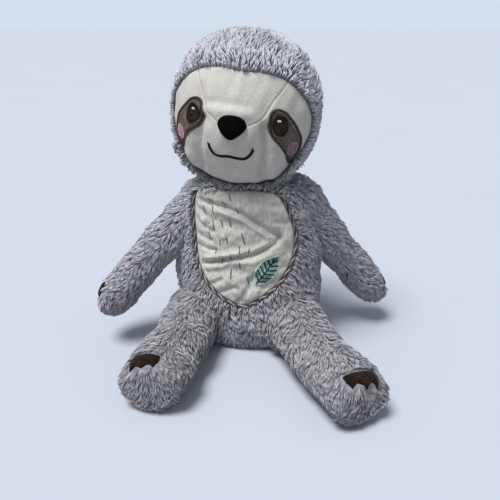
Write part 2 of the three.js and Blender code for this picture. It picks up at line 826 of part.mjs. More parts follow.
const sloth = new THREE.Group();
sloth.add(groupOf(torsoPieces(), new THREE.Matrix4()));
sloth.add(groupOf(headPieces(), headMatrix));
for (const [side, name] of sides) {
  const armNodes = limbNodes("arm", "hand_claws", name, armPieces[name]);
  sloth.add(groupOf(armNodes, armMatrix(side, armPose[name])));
  const legNodes = limbNodes("leg", "foot_claws", name, legPieces[name]);
  sloth.add(groupOf(legNodes, legMatrix(side, legPose[name])));
}

export default sloth;
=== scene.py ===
# A seated plush sloth in wavy frosted fur, with a velour face and belly.
# Lengths are in millimetres until new_piece() turns them into metres. Each form
# is worked out in its own frame, with its front towards -Y, and is then put in
# place by a matrix. The toy's own left is +X.
import math

import bpy
import numpy as np
from mathutils import Matrix, Vector, geometry
from mathutils.bvhtree import BVHTree
from mathutils.kdtree import KDTree


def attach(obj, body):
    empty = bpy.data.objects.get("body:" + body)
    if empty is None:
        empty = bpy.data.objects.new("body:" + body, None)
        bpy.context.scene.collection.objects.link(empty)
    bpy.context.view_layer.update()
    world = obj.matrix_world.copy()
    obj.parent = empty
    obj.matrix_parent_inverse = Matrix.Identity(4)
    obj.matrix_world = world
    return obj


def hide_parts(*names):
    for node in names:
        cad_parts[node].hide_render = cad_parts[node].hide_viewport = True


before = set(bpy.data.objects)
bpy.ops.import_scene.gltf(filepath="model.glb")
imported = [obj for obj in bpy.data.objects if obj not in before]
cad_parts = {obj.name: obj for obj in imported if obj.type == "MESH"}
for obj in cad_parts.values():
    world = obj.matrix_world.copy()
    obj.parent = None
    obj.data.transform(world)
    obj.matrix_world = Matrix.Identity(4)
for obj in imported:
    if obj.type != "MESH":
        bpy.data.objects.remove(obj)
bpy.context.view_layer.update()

MM = 0.001
TINY = 1e-9  # keeps a divisor from being zero
SEED = 11
random = np.random.default_rng(SEED)

# Cloth and pile
PILE = 4.5  # from the backing of the fur to the tips, as the frame has it
BACKING_DROP = 0.3  # of the backing under the level of the cloth
LEAST_RING = 1.5  # radius of the smallest ring of a form
POLE_RISE = 0.05  # of a pole over the ring round it

# Torso
TORSO = dict(half_width=71, half_depth=52.5, height=160, squareness=2.45)
TORSO_GRID = dict(rings=230, sides=360)
TORSO_LUMPS = dict(lumps=1.1, seed=3)
PANEL = dict(half_width=46, bottom=48, top=156)
LEAF = dict(length=33, width=16, across=22, height=85, tilt=36)
POUCH_HEIGHT = 32
POUCH_GAP = 0.4  # from the pouch to the middle of the space between it and the filling
FLAT_DEPTH = 0.5
NECK = TORSO["height"]

# Head, from its own centre
HEAD = dict(half_width=67.5, half_depth=60, half_height=67.5, above_neck=61, aside=-3, forward=3)
HEAD_GRID = dict(rings=250, sides=360)
HEAD_ROUNDNESS = dict(wide=2.15, wide_low=2.35, front=2.15, front_low=3.1, back=2.1)
HEAD_TURN, HEAD_TILT = -1.5, 7
MUZZLE = dict(bulge=9, half_width=27, half_height=25, drop=13)
FACE = dict(half_width=60.5, top=36, bottom=62)
FOREHEAD = dict(nose_half_width=13, top_half_width=37, nose_drop=4)
NOSE = dict(half_width=11.7, up=2.4, down=16.2, thick=4.2, rounding=5)
MOUTH = dict(half_width=18.5, corner_drop=22.8, low_drop=32)
EYE = dict(middle=41, half_width=14.5, up=11, down=38)
EYE_INSETS = dict(border=1, line=2, threads=2.4, iris_ring=0.2)
IRIS = dict(across=36.3, up=-2.7, half_width=5.5, half_height=8.2, tilt=-14)
GLINT = dict(across=34.6, up=1, half_width=1.4, half_height=1.4, tilt=0)
BLUSH = dict(across=47.5, up=-21.5, half_width=3.9, half_height=6.8, tilt=24)

# Limbs, from the middle of their root
ARM = dict(ball=23, length=144, half_width=21.5, seed=20)
SHOULDER = dict(across=48, back=0, below_neck=26)
ARM_POSE = {"left": dict(spread=37, swing=-16, twist=98), "right": dict(spread=41, swing=21, twist=88)}
LEG = dict(ball=30, length=122, half_width=28.5, seed=30)
HIP = dict(across=48, forward=44, height=LEG["ball"] - FLAT_DEPTH)
LEG_POSE = {"left": dict(splay=31, back=0), "right": dict(splay=6, back=10.5)}
LIMB_GRID = dict(rings=190, dome_rings=28, sides=200)
LIMB_LUMPS = 0.9
LUMP_SIZE = 42  # of the lumps that the filling makes in a cover
CLAWS = {
    "arm_left": dict(half_width=7.8, length=12.5, from_tip=25, outwards=0),
    "arm_right": dict(half_width=9, length=13, from_tip=25, outwards=0),
    "leg_left": dict(half_width=13.6, length=11.5, from_tip=19.5, outwards=1.5),
    "leg_right": dict(half_width=11.8, length=11.5, from_tip=21, outwards=6.5),
}
CLAW_PADS = dict(arm=dict(thick=1.7, rounding=3.5), leg=dict(thick=1.9, rounding=3.5))
PAD_RISE = 0.3  # of the edge of a pad over what it is sewn on
DOME_START = 80  # degrees from the top of the ball at a limb's root
LEAST_FOOT_SHARE = 0.84
PRESS = 1.0  # how far a limb's pile holds the torso off its cloth
CLEAR = 0.6  # left between the two
LIMB_FLOORS = dict(backing=0.3, fibre=5, roots=1.0)  # the lowest that each may lie
HEAD_FLOORS = dict(backing=NECK + 0.4, fibre=NECK + 3)

# Outlines as shares of the sizes that they follow
FACE_SHARES = [
    (0, 0.985), (0.25, 1.01), (0.42, 0.98), (0.57, 0.91), (0.72, 0.76), (0.86, 0.53), (0.96, 0.25),
    (1, -0.03), (0.97, -0.26), (0.9, -0.43), (0.79, -0.62), (0.66, -0.79), (0.49, -0.92),
    (0.27, -0.985), (0, -1),
]
EYE_SHARES = [
    (-0.99, 0.27), (-0.92, 0.76), (-0.62, 1), (-0.17, 0.86), (0.28, 0.32), (0.69, -0.13), (0.94, -0.38),
    (0.93, -0.6), (0.7, -0.8), (0.36, -0.96), (0.2, -0.86), (0.1, -0.72), (-0.22, -0.53),
    (-0.68, -0.34), (-0.91, -0.14),
]
NOSE_SHARES = [
    (0, 1), (0.42, 0.8), (0.8, -0.02), (0.99, -0.28), (0.95, -0.42), (0.72, -0.66), (0.4, -0.86),
    (0.15, -0.98),
]
FOREHEAD_SHARES = [(1.06, 1.5), (1, 0.89), (0.64, 0.47), (0.37, 0.14)]
MOUTH_SHARES = [(1, 0), (0.9, 0.45), (0.7, 0.9), (0.42, 1), (0, 0.84)]
PANEL_LEFT_SHARES = [
    (0, 0), (0.1, 0.006), (0.2, 0.03), (0.31, 0.065), (0.48, 0.125), (0.65, 0.19), (0.8, 0.27), (0.93, 0.38),
    (0.99, 0.49), (1, 0.6), (0.97, 0.69), (0.9, 0.77), (0.82, 0.86), (0.72, 0.936), (0.56, 1),
]
PANEL_RIGHT_SHARES = [
    (0, 0), (0.1, 0.004), (0.2, 0.016), (0.39, 0.058), (0.6, 0.13), (0.78, 0.22), (0.9, 0.315), (0.96, 0.4),
    (0.99, 0.49), (1, 0.59), (1.02, 0.68), (1.035, 0.77), (1.035, 0.86), (1.01, 0.94), (0.98, 1),
]
CLAW_SHARES = [
    (1, 0), (1.04, 0.5), (0.87, 1.02), (0.5, 0.84), (0.04, 1.1), (-0.48, 0.84), (-0.87, 1.02),
    (-1.04, 0.5), (-1, 0),
]
CLAW_BED_SHARES = [
    (1.05, -0.12), (1.1, 0.5), (0.94, 1.06), (0.5, 0.9), (0.04, 1.14), (-0.48, 0.9), (-0.94, 1.06),
    (-1.1, 0.5), (-1.05, -0.12),
]
TORSO_SHARES = [
    (0, 0, 0), (0, 0.45, 0.5), (0.01, 0.76, 0.86), (0.065, 0.89, 0.96), (0.17, 0.965, 0.995),
    (0.34, 1, 1), (0.5, 0.99, 1), (0.65, 0.94, 0.97), (0.78, 0.87, 0.92), (0.88, 0.85, 0.87),
    (0.95, 0.8, 0.81), (0.985, 0.69, 0.7), (1, 0.5, 0.52), (1, 0.25, 0.25), (1, 0, 0),
]
ARM_SHARES = [
    (0, 0, 0), (0.006, 0.3, 0.27), (0.035, 0.65, 0.6), (0.09, 0.89, 0.84), (0.18, 0.98, 0.94),
    (0.3, 0.97, 0.94), (0.45, 0.93, 0.93), (0.65, 0.95, 0.95), (0.85, 1, 1),
]
LEG_SHARES = [
    (0, 0, 0), (0.005, 0.42, 0.36), (0.03, 0.8, 0.64), (0.09, 1, 0.8), (0.2, 1.05, 0.86),
    (0.35, 1, 0.86), (0.55, 0.95, 0.88), (0.8, 0.96, 0.95),
]

SIDES = ((1, "left"), (-1, "right"))
PIPING = dict(radius=0.6, offset=0.56, pitch=11, rise=0.6, steps=900, sides=8, shade=0.6)
LEAF_POWERS = dict(low=3.6, tip=2.3)
LEAF_POINTS = 40
LEAF_RIB = dict(start_share=-0.5, end_share=0.44, points=30)
VEIN_SHARES = (-0.38, -0.25, -0.12, 0.01, 0.14, 0.26)
VEIN = dict(middle_share=0.14, power=2.5, short=0.8, rise_share=0.16, bend=1.15, points=8)

# Creases of the velour, in places on the front: the line, its depth and its half width
FACE_CREASES = [
    ([(-28, -4), (-30.2, -22), (-29.6, -31.3), (-26, -48)], 5.2, 3.8),
    ([(25, -4), (27.6, -17.7), (28, -28), (26, -48)], 5.4, 2.8),
    ([(33, -30), (32.5, -38), (30.5, -47)], -1.6, 4.0),
    ([(-30.6, -17), (-30.2, -30)], 0.7, 1.2),
    ([(-22.8, 9), (-15.1, 10), (-5.8, 9.8), (1.1, 10.6), (9, 10)], 1.0, 3.2),
    ([(-39, -40), (-34, -48)], -2.0, 6),
    ([(39, -38), (34, -47)], -2.0, 6),
]
NOSE_RIDGE = [(-21, 2.6), (-10.7, 4.3), (1.6, 5.2), (12, 4.2)]
BELLY_CREASES = [
    ([(-38, 144), (-14.7, 139.8), (-1.7, 136.3), (9.3, 128.6), (21, 120.5), (31, 115.4)], 4.6, 2.6),
    ([(-37, 86.7), (-21.9, 90.1), (-8.6, 94.3), (6.2, 97.1), (17, 102.3), (29.3, 109.3), (32.6, 114)],
     4.8, 2.1),
    ([(30, 119), (33.6, 112.5), (38.3, 104.9), (43, 97)], 2.6, 2.6),
    ([(-47, 140), (-39, 133.5), (-28, 127)], 1.3, 2.6),
    ([(-47, 128), (-38, 121), (-28, 117)], 1.7, 2.2),
    ([(-47, 115), (-38, 110), (-30, 108)], 1.4, 2.0),
    ([(-46, 103), (-36, 100), (-25.7, 99.8)], 1.9, 1.9),
    ([(-41, 77), (-30, 79), (-24, 81)], 1.0, 2.4),
    ([(-35, 66), (-26, 69), (-20, 73)], 1.6, 2.4),
    ([(-25, 57), (-16, 62), (-9, 66)], 1.7, 2.2),
    ([(-6, 48), (3, 61), (7.3, 71), (11.9, 80)], 2.4, 2.6),
    ([(11, 50), (16, 61), (20, 68)], 1.2, 2.2),
    ([(8.6, 146), (19.3, 145.1), (31, 141.9)], 1.8, 2.6),
    ([(47, 130), (37, 127), (28, 128)], 1.6, 2.4),
    ([(47, 88), (37, 86)], 1.2, 2.0),
]
BELLY_RIDGES = [
    ([(-24, 136.6), (-12, 133.6), (0, 129.6), (12, 122), (22, 114.4)], -1.7, 2.8),
    ([(-34, 91.4), (-20, 95.2), (-6, 99.2), (8, 102.4), (20, 108.6)], -2.2, 2.6),
    ([(-32, 82.6), (-18, 86), (-4, 89.6), (10, 92), (24, 98.6)], -1.8, 3.0),
    ([(-10, 144), (10, 137), (26, 127)], -1.2, 4.6),
]
BELLY_FADE = 5  # width along the piping over which the belly's creases fade out
# Lumps of the velour: their height, their size and their seed
FACE_LUMPS = [(0.22, 13, 41)]
BELLY_LUMPS = [(0.7, 26, 51), (0.2, 7, 52)]
NOSE_RIDGE_SIZE = dict(height=1.2, half_width=4.2)
PANEL_BACK = -12  # how far back the top of the belly panel reaches
# Rooms in the backing under the panels: how deep they are and how wide their slopes
PANEL_ROOM = dict(depth=8.2, edge=3, before=PANEL_BACK)
FACE_ROOM = dict(depth=8.5, edge=3)
CLAW_ROOM = dict(depth=1.6, edge=1.5)
VELOUR_SHEET = dict(spacing=0.95, thickness=7.5)
NOSE_SHEET = dict(spacing=0.6, thickness=0.3)
CLAW_SHEET = dict(spacing=0.8, thickness=0.8)
# How deep a panel rolls into its seam, and over what width
PANEL_ROLL = dict(depth=1.3, width=1.6)
SEAM_ROLL = dict(depth=0.6, width=1.5)
BELLY_ROLL = dict(depth=1.2, width=3)
FACE_GAP = 0.04  # from the edge of a velour panel to the middle of its seam
BELLY_GAP = 0.6  # from the belly panel to the line of its piping
# Lumps of the filling, as for the velour, and how deep it lies under the cloth
FILLING_LUMPS = [(0.9, 9, 77)]
FILLING_DEPTH = 8
HEAD_FILLING_DEPTH = 10
# Every how many rings and sides of a form are in its covers and fillings
COVER_EVERY = (2, 2)
LIMB_COVER_EVERY = (3, 3)
FILLING_EVERY = (6, 6)
# Dashes sewn on the belly, each from its first place to its second
DASHES = [
    (-13.2, 152.2, -11.3, 146.4), (-19.7, 145.2, -16.6, 141.8), (-36.5, 139.6, -34.9, 132.3),
    (-28.8, 140.1, -27.1, 134.3), (-32.2, 145.9, -29.7, 143.7), (-6.8, 139.5, -4.9, 135.2),
    (-20.6, 129, -18.6, 122), (-13.1, 131.1, -11.1, 123.1), (-28.4, 127.5, -26.3, 118.8),
    (-32.3, 115.5, -30.2, 109.9), (-1.4, 117.8, 1.5, 108.2), (-21.4, 110.2, -20.9, 105.6),
    (-14.7, 113.2, -14.2, 107.2), (-25.7, 101.2, -25.1, 97), (-3.5, 105.6, -2.8, 99.5),
    (5.7, 104.2, 5.1, 99.4), (-20.4, 91.8, -19.5, 88), (-12.5, 95.4, -12.1, 91.6),
    (-2.2, 90.9, -3, 84), (-11, 83.4, -11.2, 74.8), (4.5, 77.5, 5.4, 70.9),
]

# Fur: strands for each square millimetre, then how far each leans and rises
# The fur's mean tone is higher on the head, painting the light on its top, and lower on the legs, painting
# the shade they lie in
FUR_LOOKS = dict(
    head=dict(density=0.56, lean=8.5, rise=4, low=0.4, reach=6, seed=3, pale_and_lit=1, stray=12, width=0.46),
    torso=dict(density=0.56, lean=8, rise=4.4, low=0.1, reach=7, seed=4),
    neck=dict(density=0.6, lean=4.5, rise=5.8, seed=9),
    chin=dict(lean=4.5, rise=9, seed=8),
    arm=dict(pale_and_lit=0.55, stray=14, low_tip=0.2),
    leg=dict(pale_and_lit=0.2, stray=11, low_tip=0.3, in_clump=4, pull=0.35, width=0.36),
)
LIMB_FUR = dict(density=0.58, lean=9.5, rise=3.5, low=-0.35, tall=0.75, reach=6, only_towards=True, seed=5)
BACK_SHARE = 0.84  # how dense the fur on the back is against the front
# How far the fur's roots stay from the edges of the panels, outside them where positive
FUR_MARGINS = dict(face=-0.9, belly=1.2, claws=0.45)
LIMB_REACH = 5  # how deep in the torso a limb still has fur
TORSO_REACH = 4  # how deep in a limb the torso still has fur
TORSO_FUR_LOW = 1.5
TORSO_FUR_HIGH = NECK - 4.5
HEAD_FUR_LOW = NECK + 1.5
HEAD_FUR_FLOOR = NECK - 1
TORSO_FUR_CEILING = NECK - 0.3
NECK_FUR = dict(start=NECK - 9, inner_radius=33, depth_share=1.15, front=-35, half_width=52)
CHIN_FUR = dict(below_share=0.5, repeats=26, scatter=0.03, depth=-0.6, way=(0, -1, -0.5), floor=NECK - 11)
TIP_FUR = dict(start=60, end_share=0.9, lean_share=0.15)  # towards a limb's tip the fur lies lower
SWIRL_ANGLE = 60
# The way that the fur is brushed, and how far it swirls about that way
HEAD_FLOW = dict(source=(0, 0, -14), front=8, back=26, fall=(0, 0, -30), fall_over=40)
FLOW_SPREADS = dict(torso=(0.016, 0.006, 0), arm=(0, 0, 0), leg=(0.04, 0, 0))
FLOW_WAYS = dict(torso=(0, 0, -1), arm=(0, 0, -1), leg=(0, 0.45, -0.75))
SWIRLS = dict(
    head=dict(share=0.35, size=20, seed=61), torso=dict(share=0.4, size=26, seed=62),
    arm=dict(share=0.3, size=24, seed=63), leg=dict(share=0.26, size=24, seed=64),
)

# Stitches: their angle, the space between them, their length or how wide they lie across a
# line, how far they lie over the velour, their arch, and the thread's width and shades
STITCHES = dict(
    seam=dict(length=2.4, lift=0.12, width=0.34),
    mouth=dict(spacing=0.33, across=3.7, lift=0.55, width=0.6),
    patch=dict(slant=62, spacing=0.48, length=4.5, over=0.1, lift=0.35, width=0.56, shades=(0.5, 0.2)),
    border=dict(spacing=0.42, across=2.0, over=0.15, lift=0.5, width=0.52, shades=(0.7, 0.15)),
    line=dict(spacing=0.36, across=0.85, over=0.4, lift=0.45, width=0.42),
    iris_ring=dict(spacing=0.36, across=1.2, over=0.68, lift=0.5, width=0.45, shades=(0.3, 0.1)),
    iris=dict(slant=90, spacing=0.42, length=5, over=0.55, lift=0.45, width=0.5, shades=(0.7, 0.2)),
    glint=dict(slant=90, spacing=0.4, length=6, over=1.15, lift=0.5, width=0.5),
    blush=dict(slant=62, spacing=0.42, length=4, over=0.55, lift=0.4, width=0.5),
    dash=dict(over=0.15, lift=0.45, width=0.46, shades=(0.5, 0.2)),
    leaf=dict(slant=38, spacing=0.46, length=6, over=0.15, lift=0.4, width=0.55, shades=(0.5, 0.2)),
    leaf_edge=dict(spacing=0.42, across=1.5, over=0.25, lift=0.45, width=0.5, shades=(0.85, 0.1)),
    rib=dict(spacing=0.34, across=1.3, over=0.6, lift=0.4, width=0.45),
    vein=dict(spacing=0.36, across=1.9, over=0.65, lift=0.45, width=0.42),
)
# The two threads of a dash, and how many seeds there are to each millimetre across
DASH = dict(half_gap=0.2, longer_share=0.12, points=11, seeds=10)

# Colours, 0 to 255
FUR_STOPS = [
    (0.0, (140, 138, 145)), (0.25, (175, 175, 184)), (0.5, (211, 213, 222)), (0.75, (236, 238, 247)),
    (1.0, (248, 249, 254)),
]
FUR_LOOK = dict(roughness=0.8, sheen=0.5, spread=0.4, warm=(255, 250, 247))
BACKING_LOOK = dict(roughness=0.95, sheen=0.1)
# The backing's tone is dark like the fur's roots, so the gaps between strands read deep, and darker where
# its lumps are low: its own colour and painted shade
BACKING_SHADED_TONES = [(0.3, (124, 121, 129)), (0.7, (168, 167, 176))]
BACKING_LUMPS = dict(size=3.2, detail=4, depth=1.2)
CLOTHS = dict(
    face_velour=dict(colour=(228, 225, 217), shadow=(218, 214, 206), sheen=0.2),
    belly_velour=dict(colour=(230, 229, 220), shadow=(219, 219, 211), sheen=0.2, ribs=2.2),
    nose_velour=dict(colour=(12, 8, 8), shadow=(5, 4, 4), sheen=0, pile=0.4, gloss=0.06),
    claw_cloth=dict(
        colour=(54, 36, 31), shadow=(30, 20, 18), sheen=0.1, pile=1.2, gloss=0.1, speckle_and_shade=0.75, grain=1.9
    ),
    filling_fibre=dict(colour=(242, 241, 236), shadow=(224, 222, 216), sheen=0.3, pile=0.5),
    pouch_cloth=dict(colour=(206, 196, 178), shadow=(186, 176, 158), sheen=0.1, ribs=0.8),
)
THREADS = dict(
    patch_thread=dict(colour=(122, 110, 94)),
    patch_border_thread=dict(colour=(112, 99, 84)),
    dark_thread=dict(colour=(22, 20, 24)),
    iris_thread=dict(colour=(54, 33, 30), spread=0.75),
    white_thread=dict(colour=(248, 247, 244), spread=0.1),
    blush_thread=dict(colour=(208, 172, 186), spread=0.15),
    leaf_thread=dict(colour=(190, 232, 224)),
    leaf_edge_thread=dict(colour=(214, 240, 230), spread=0.15),
    leaf_vein_thread=dict(colour=(24, 56, 64)),
    leaf_rib_thread=dict(colour=(18, 30, 36)),
    dash_thread=dict(colour=(122, 112, 104)),
    seam_thread=dict(colour=(224, 208, 201)),
    piping_dark=dict(colour=(76, 61, 61)),
    piping_pale=dict(colour=(206, 193, 192)),
)
THREAD_LOOK = dict(roughness=0.55, sheen=0.1, warm=(255, 250, 246))
# Each stitch darkens towards both ends, outside the middle span: painted shade where it dips into the cloth
THREAD_END_SHADE_SHARE = 0.72
THREAD_ENDS = (0.25, 0.75)
# The velour is darker where its pile and its ribs are low: the pile's own speckle, and painted shade in
# their hollows
VELOUR = dict(
    roughness=0.92, mottle=14, mottle_detail=4, mottle_stops=(0.32, 0.62), speck_and_shade_stops=(0.36, 0.6),
    rib_detail=2, rib_stretch=(1, 1, 0.3), rib_turn=(0, 28, 0), rib_depth=1.2, rib_shade=0.84,
    rib_stops=(0.4, 0.6),
)

# Light and camera, in metres and degrees, and the floor's mottle in millimetres
FLOOR_SIZE = 60
FLOOR_BOUNCE = (150, 154, 162)  # what the floor throws back on the toy
FLOOR_TONES = [(0.3, (201, 208, 218)), (0.7, (203, 210, 220))]
FLOOR_MOTTLE = dict(size=320, detail=2)
FLOOR_ROUGHNESS = 0.9
WORLD_COLOUR = (236, 240, 248)
WORLD_LIGHT = 0.35
BACKGROUND = (214, 223, 236)
BACKGROUND_LIGHT = 1
SUN_PLACE = (-0.36, -0.4, 1.3)
SUN_STRENGTH = 2.9
SUN_ANGLE = 26
CAMERA_PLACE = (0.0707, -0.503, 0.290)
CAMERA_ANGLES = (68, 0, 8)
CAMERA_SENSOR = 36
CAMERA_LENS = 40.32

# Lines and curves

CURVE_STEPS = 48  # from one point that a curve goes through to the next
LEAST_GAP = 1e-6
LEAST_CORNER = 0.4  # keeps a sharp corner from running far out as its outline grows
OVAL_POINTS = 40
WAVE_COUNT = 14
WAVE_LENGTH_SHARES = (0.7, 1.5)


def unit(v):
    return v / np.maximum(np.linalg.norm(v, axis=-1, keepdims=True), TINY)


def lengths_along(line):
    """How far along an open line each of its points lies."""
    return np.r_[0, np.cumsum(np.linalg.norm(np.diff(line, axis=0), axis=1))]


def curve_through(points, count, closed=False):
    """Evenly spaced points along a smooth curve through the given ones."""
    p = np.asarray(points, float)
    if closed:
        p = np.vstack([p[-1], p, p[:2]])
    else:
        p = np.vstack([2 * p[0] - p[1], p, 2 * p[-1] - p[-2]])
    gap = np.sqrt(np.maximum(np.linalg.norm(np.diff(p, axis=0), axis=1), LEAST_GAP))
    s = np.linspace(0, 1, CURVE_STEPS, endpoint=False)[:, None]
    fine = []
    for i in range(1, len(p) - 2):
        a, b, c, d = p[i - 1 : i + 3]
        x, y, z = gap[i - 1 : i + 2]
        start = ((b - a) / x - (c - a) / (x + y) + (c - b) / y) * y
        end = ((c - b) / y - (d - b) / (y + z) + (d - c) / z) * y
        square = 3 * (c - b) - 2 * start - end
        cube = 2 * (b - c) + start + end
        fine.append(b + s * start + s**2 * square + s**3 * cube)
    fine = np.vstack(fine + [p[-2:-1]])
    along = lengths_along(fine)
    at = np.linspace(0, along[-1], count, endpoint=not closed)
    return np.stack([np.interp(at, along, fine[:, k]) for k in range(p.shape[1])], axis=1)


def mirrored(points):
    return list(points) + [(-x, z) for x, z in reversed(points) if x > 0]


def scaled(shares, half_width, up, down):
    return [(x * half_width, z * (up if z > 0 else down)) for x, z in shares]


def placed(across, up, x, z, tilt):
    """Places in the plane, turned by a tilt and then moved."""
    turn = math.radians(-tilt)
    return np.stack([
        across + x * math.cos(turn) - z * math.sin(turn),
        up + x * math.sin(turn) + z * math.cos(turn),
    ], axis=-1)


def oval(side, across, up, half_width, half_height, tilt):
    angle = np.linspace(0, 2 * math.pi, OVAL_POINTS, endpoint=False)
    return placed(side * across, up, half_width * np.cos(angle), half_height * np.sin(angle), side * tilt)


def grown(outline, distance):
    """The outline moved outwards, or inwards by a negative distance."""
    o = np.asarray(outline, float)
    x, z = o[:, 0], o[:, 1]
    turn = 1 if np.sum(x * np.roll(z, -1) - np.roll(x, -1) * z) > 0 else -1
    along = unit(np.roll(o, -1, axis=0) - o)
    first = turn * np.stack([along[:, 1], -along[:, 0]], axis=1)
    before = np.roll(first, 1, axis=0)
    corner = unit(first + before)
    stretch = 1 / np.maximum(np.sum(corner * before, axis=1, keepdims=True), LEAST_CORNER)
    return o + distance * stretch * corner


def dense(outline, spacing):
    """A closed outline with points no further apart than the spacing, corners kept."""
    points = []
    for a, b in zip(outline, np.roll(outline, -1, axis=0)):
        steps = max(1, int(np.ceil(np.linalg.norm(b - a) / spacing)))
        points += [a + (b - a) * i / steps for i in range(steps)]
    return np.array(points)


def distance_to(points, line, closed=False):
    """Distance of each point in the plane to a line of many points."""
    line = np.asarray(line, float)
    ends = np.roll(line, -1, axis=0) if closed else line[1:]
    starts = line if closed else line[:-1]
    best = np.full(len(points), np.inf)
    for a, b in zip(starts, ends):
        ab = b - a
        t = np.clip((points - a) @ ab / max(ab @ ab, TINY), 0, 1)[:, None]
        best = np.minimum(best, np.linalg.norm(points - a - t * ab, axis=1))
    return best


def inside(points, outline):
    """Whether each point in the plane lies inside a closed outline."""
    x, z = points[:, 0], points[:, 1]
    result = np.zeros(len(points), bool)
    for a, b in zip(outline, np.roll(outline, -1, axis=0)):
        crosses = (a[1] > z) != (b[1] > z)
        rise = b[1] - a[1] if b[1] != a[1] else TINY
        result ^= crosses & (x < (b[0] - a[0]) * (z - a[1]) / rise + a[0])
    return result


def waves(points, length, seed):
    """A smooth field of lumps of about that length, mostly from -1 to 1."""
    own = np.random.default_rng(seed)
    field = np.zeros(len(points))
    for _ in range(WAVE_COUNT):
        direction = unit(own.normal(size=points.shape[1]))
        turns = 2 * math.pi / (length * own.uniform(*WAVE_LENGTH_SHARES))
        field += np.sin(points @ direction * turns + own.uniform(0, 2 * math.pi))
    return field / math.sqrt(WAVE_COUNT / 2)


def lumps_on(points, lumps):
    """The heights of lumps, summed over rows of their height, size and seed."""
    return sum(height * waves(points, size, seed) for height, size, seed in lumps)


def smooth_step(value, low, high):
    t = np.clip((value - low) / (high - low), 0, 1)
    return t * t * (3 - 2 * t)


# Meshes


def moved(points, matrix):
    m = np.array(matrix)
    return points @ m[:3, :3].T + m[:3, 3]


def new_piece(name, vertices, faces, material, body, matrix=None, uv=None):
    """A mesh piece. faces is one array of triangles or of squares, or a list of both."""
    v = np.asarray(vertices, float)
    if matrix is not None:
        v = moved(v, matrix)
    groups = [np.asarray(f, np.int32) for f in (faces if isinstance(faces, list) else [faces])]
    corners = np.concatenate([g.ravel() for g in groups])
    sizes = np.concatenate([np.full(len(g), g.shape[1]) for g in groups])
    starts = np.r_[0, np.cumsum(sizes)[:-1]].astype(np.int32)
    mesh = bpy.data.meshes.new(name)
    mesh.vertices.add(len(v))
    mesh.vertices.foreach_set("co", (v * MM).astype(np.float32).ravel())
    mesh.loops.add(len(corners))
    mesh.loops.foreach_set("vertex_index", corners)
    mesh.polygons.add(len(sizes))
    mesh.polygons.foreach_set("loop_start", starts)
    mesh.polygons.foreach_set("use_smooth", np.full(len(sizes), True))
    if uv is not None:
        layer = mesh.uv_layers.new(name="OFBake")
        layer.data.foreach_set("uv", np.asarray(uv, np.float32).ravel())
    mesh.update(calc_edges=True)
    mesh.validate()
    mesh.materials.append(material)
    piece = bpy.data.objects.new(name, mesh)
    bpy.context.scene.collection.objects.link(piece)
    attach(piece, body)
    return piece


SHADES = 24  # columns of shades that strands and threads are coloured from
COLUMN_SIDES = (0.1, 0.5, 0.9)  # the left, middle and right that are used of a column
COLUMN_ENDS = (0.02, 0.98)


def tubes(lines, radii, across, sides, shades):
    """Closed tubes along many lines of equal count, each drawn in to a point at both ends.
    Returns vertices, triangles and corner places in the palette of shades."""
    n, k, _ = lines.shape
    along = np.empty_like(lines)
    along[:, 1:-1] = lines[:, 2:] - lines[:, :-2]
    along[:, 0], along[:, -1] = lines[:, 1] - lines[:, 0], lines[:, -1] - lines[:, -2]
    along = unit(along)
    across = across[:, None, :] if across.ndim == 2 else across
    across = unit(across - np.sum(across * along, axis=2, keepdims=True) * along)
    over = np.cross(along, across)
    rings = k - 2
    angle = (np.arange(sides) * 2 * math.pi / sides)[:, None]
    round_line = np.cos(angle) * across[:, 1:-1, None] + np.sin(angle) * over[:, 1:-1, None]
    ring = lines[:, 1:-1, None] + radii[:, 1:-1, None, None] * round_line
    vertices = np.concatenate([lines[:, :1], ring.reshape(n, rings * sides, 3), lines[:, -1:]], axis=1)
    own, place = [], []
    left, middle, right = COLUMN_SIDES
    step = np.linspace(*COLUMN_ENDS, k)
    for i in range(sides):
        j = (i + 1) % sides
        own.append((0, 1 + j, 1 + i))
        place.append(((middle, step[0]), (right, step[1]), (left, step[1])))
        for r in range(rings - 1):
            a, b = 1 + r * sides, 1 + (r + 1) * sides
            own += [(a + i, a + j, b + j), (a + i, b + j, b + i)]
            low, high = step[r + 1], step[r + 2]
            place += [((left, low), (right, low), (right, high)), ((left, low), (right, high), (left, high))]
        last = 1 + (rings - 1) * sides
        own.append((last + i, last + j, 1 + rings * sides))
        place.append(((left, step[-2]), (right, step[-2]), (middle, step[-1])))
    per = rings * sides + 2
    faces = (np.arange(n)[:, None, None] * per + np.array(own)[None]).reshape(-1, 3)
    uv = np.broadcast_to(np.array(place), (n, len(own), 3, 2)).copy()
    column = np.clip((np.asarray(shades) * SHADES).astype(int), 0, SHADES - 1)
    uv[..., 0] = (uv[..., 0] + column[:, None, None]) / SHADES
    return vertices.reshape(-1, 3), faces, uv.reshape(-1, 2)


def joined(parts):
    """Several results of tubes() as one."""
    vertices, faces, uv, start = [], [], [], 0
    for v, f, u in parts:
        vertices.append(v)
        faces.append(f + start)
        uv.append(u)
        start += len(v)
    return np.vstack(vertices), np.vstack(faces), np.vstack(uv)


# Forms

RAY_START = -300
NEAREST = 1e-4  # keeps the weight of a corner at the place itself finite


def normals_of(grid, low, high):
    """The way out at each place of a grid of rings between two poles."""
    around = np.roll(grid, -1, axis=1) - np.roll(grid, 1, axis=1)
    ends = [np.broadcast_to(pole, (1, *grid.shape[1:])) for pole in (low, high)]
    padded = np.concatenate([ends[0], grid, ends[1]])
    return unit(np.cross(around, padded[2:] - padded[:-2]))


def squares_of(rings, sides, first=0):
    """The squares between closed rings, whose corners are numbered from the first."""
    at = first + np.arange(rings * sides).reshape(rings, sides)
    after = np.roll(at, -1, axis=1)
    return np.stack([at[:-1], after[:-1], after[1:], at[1:]], axis=-1).reshape(-1, 4)


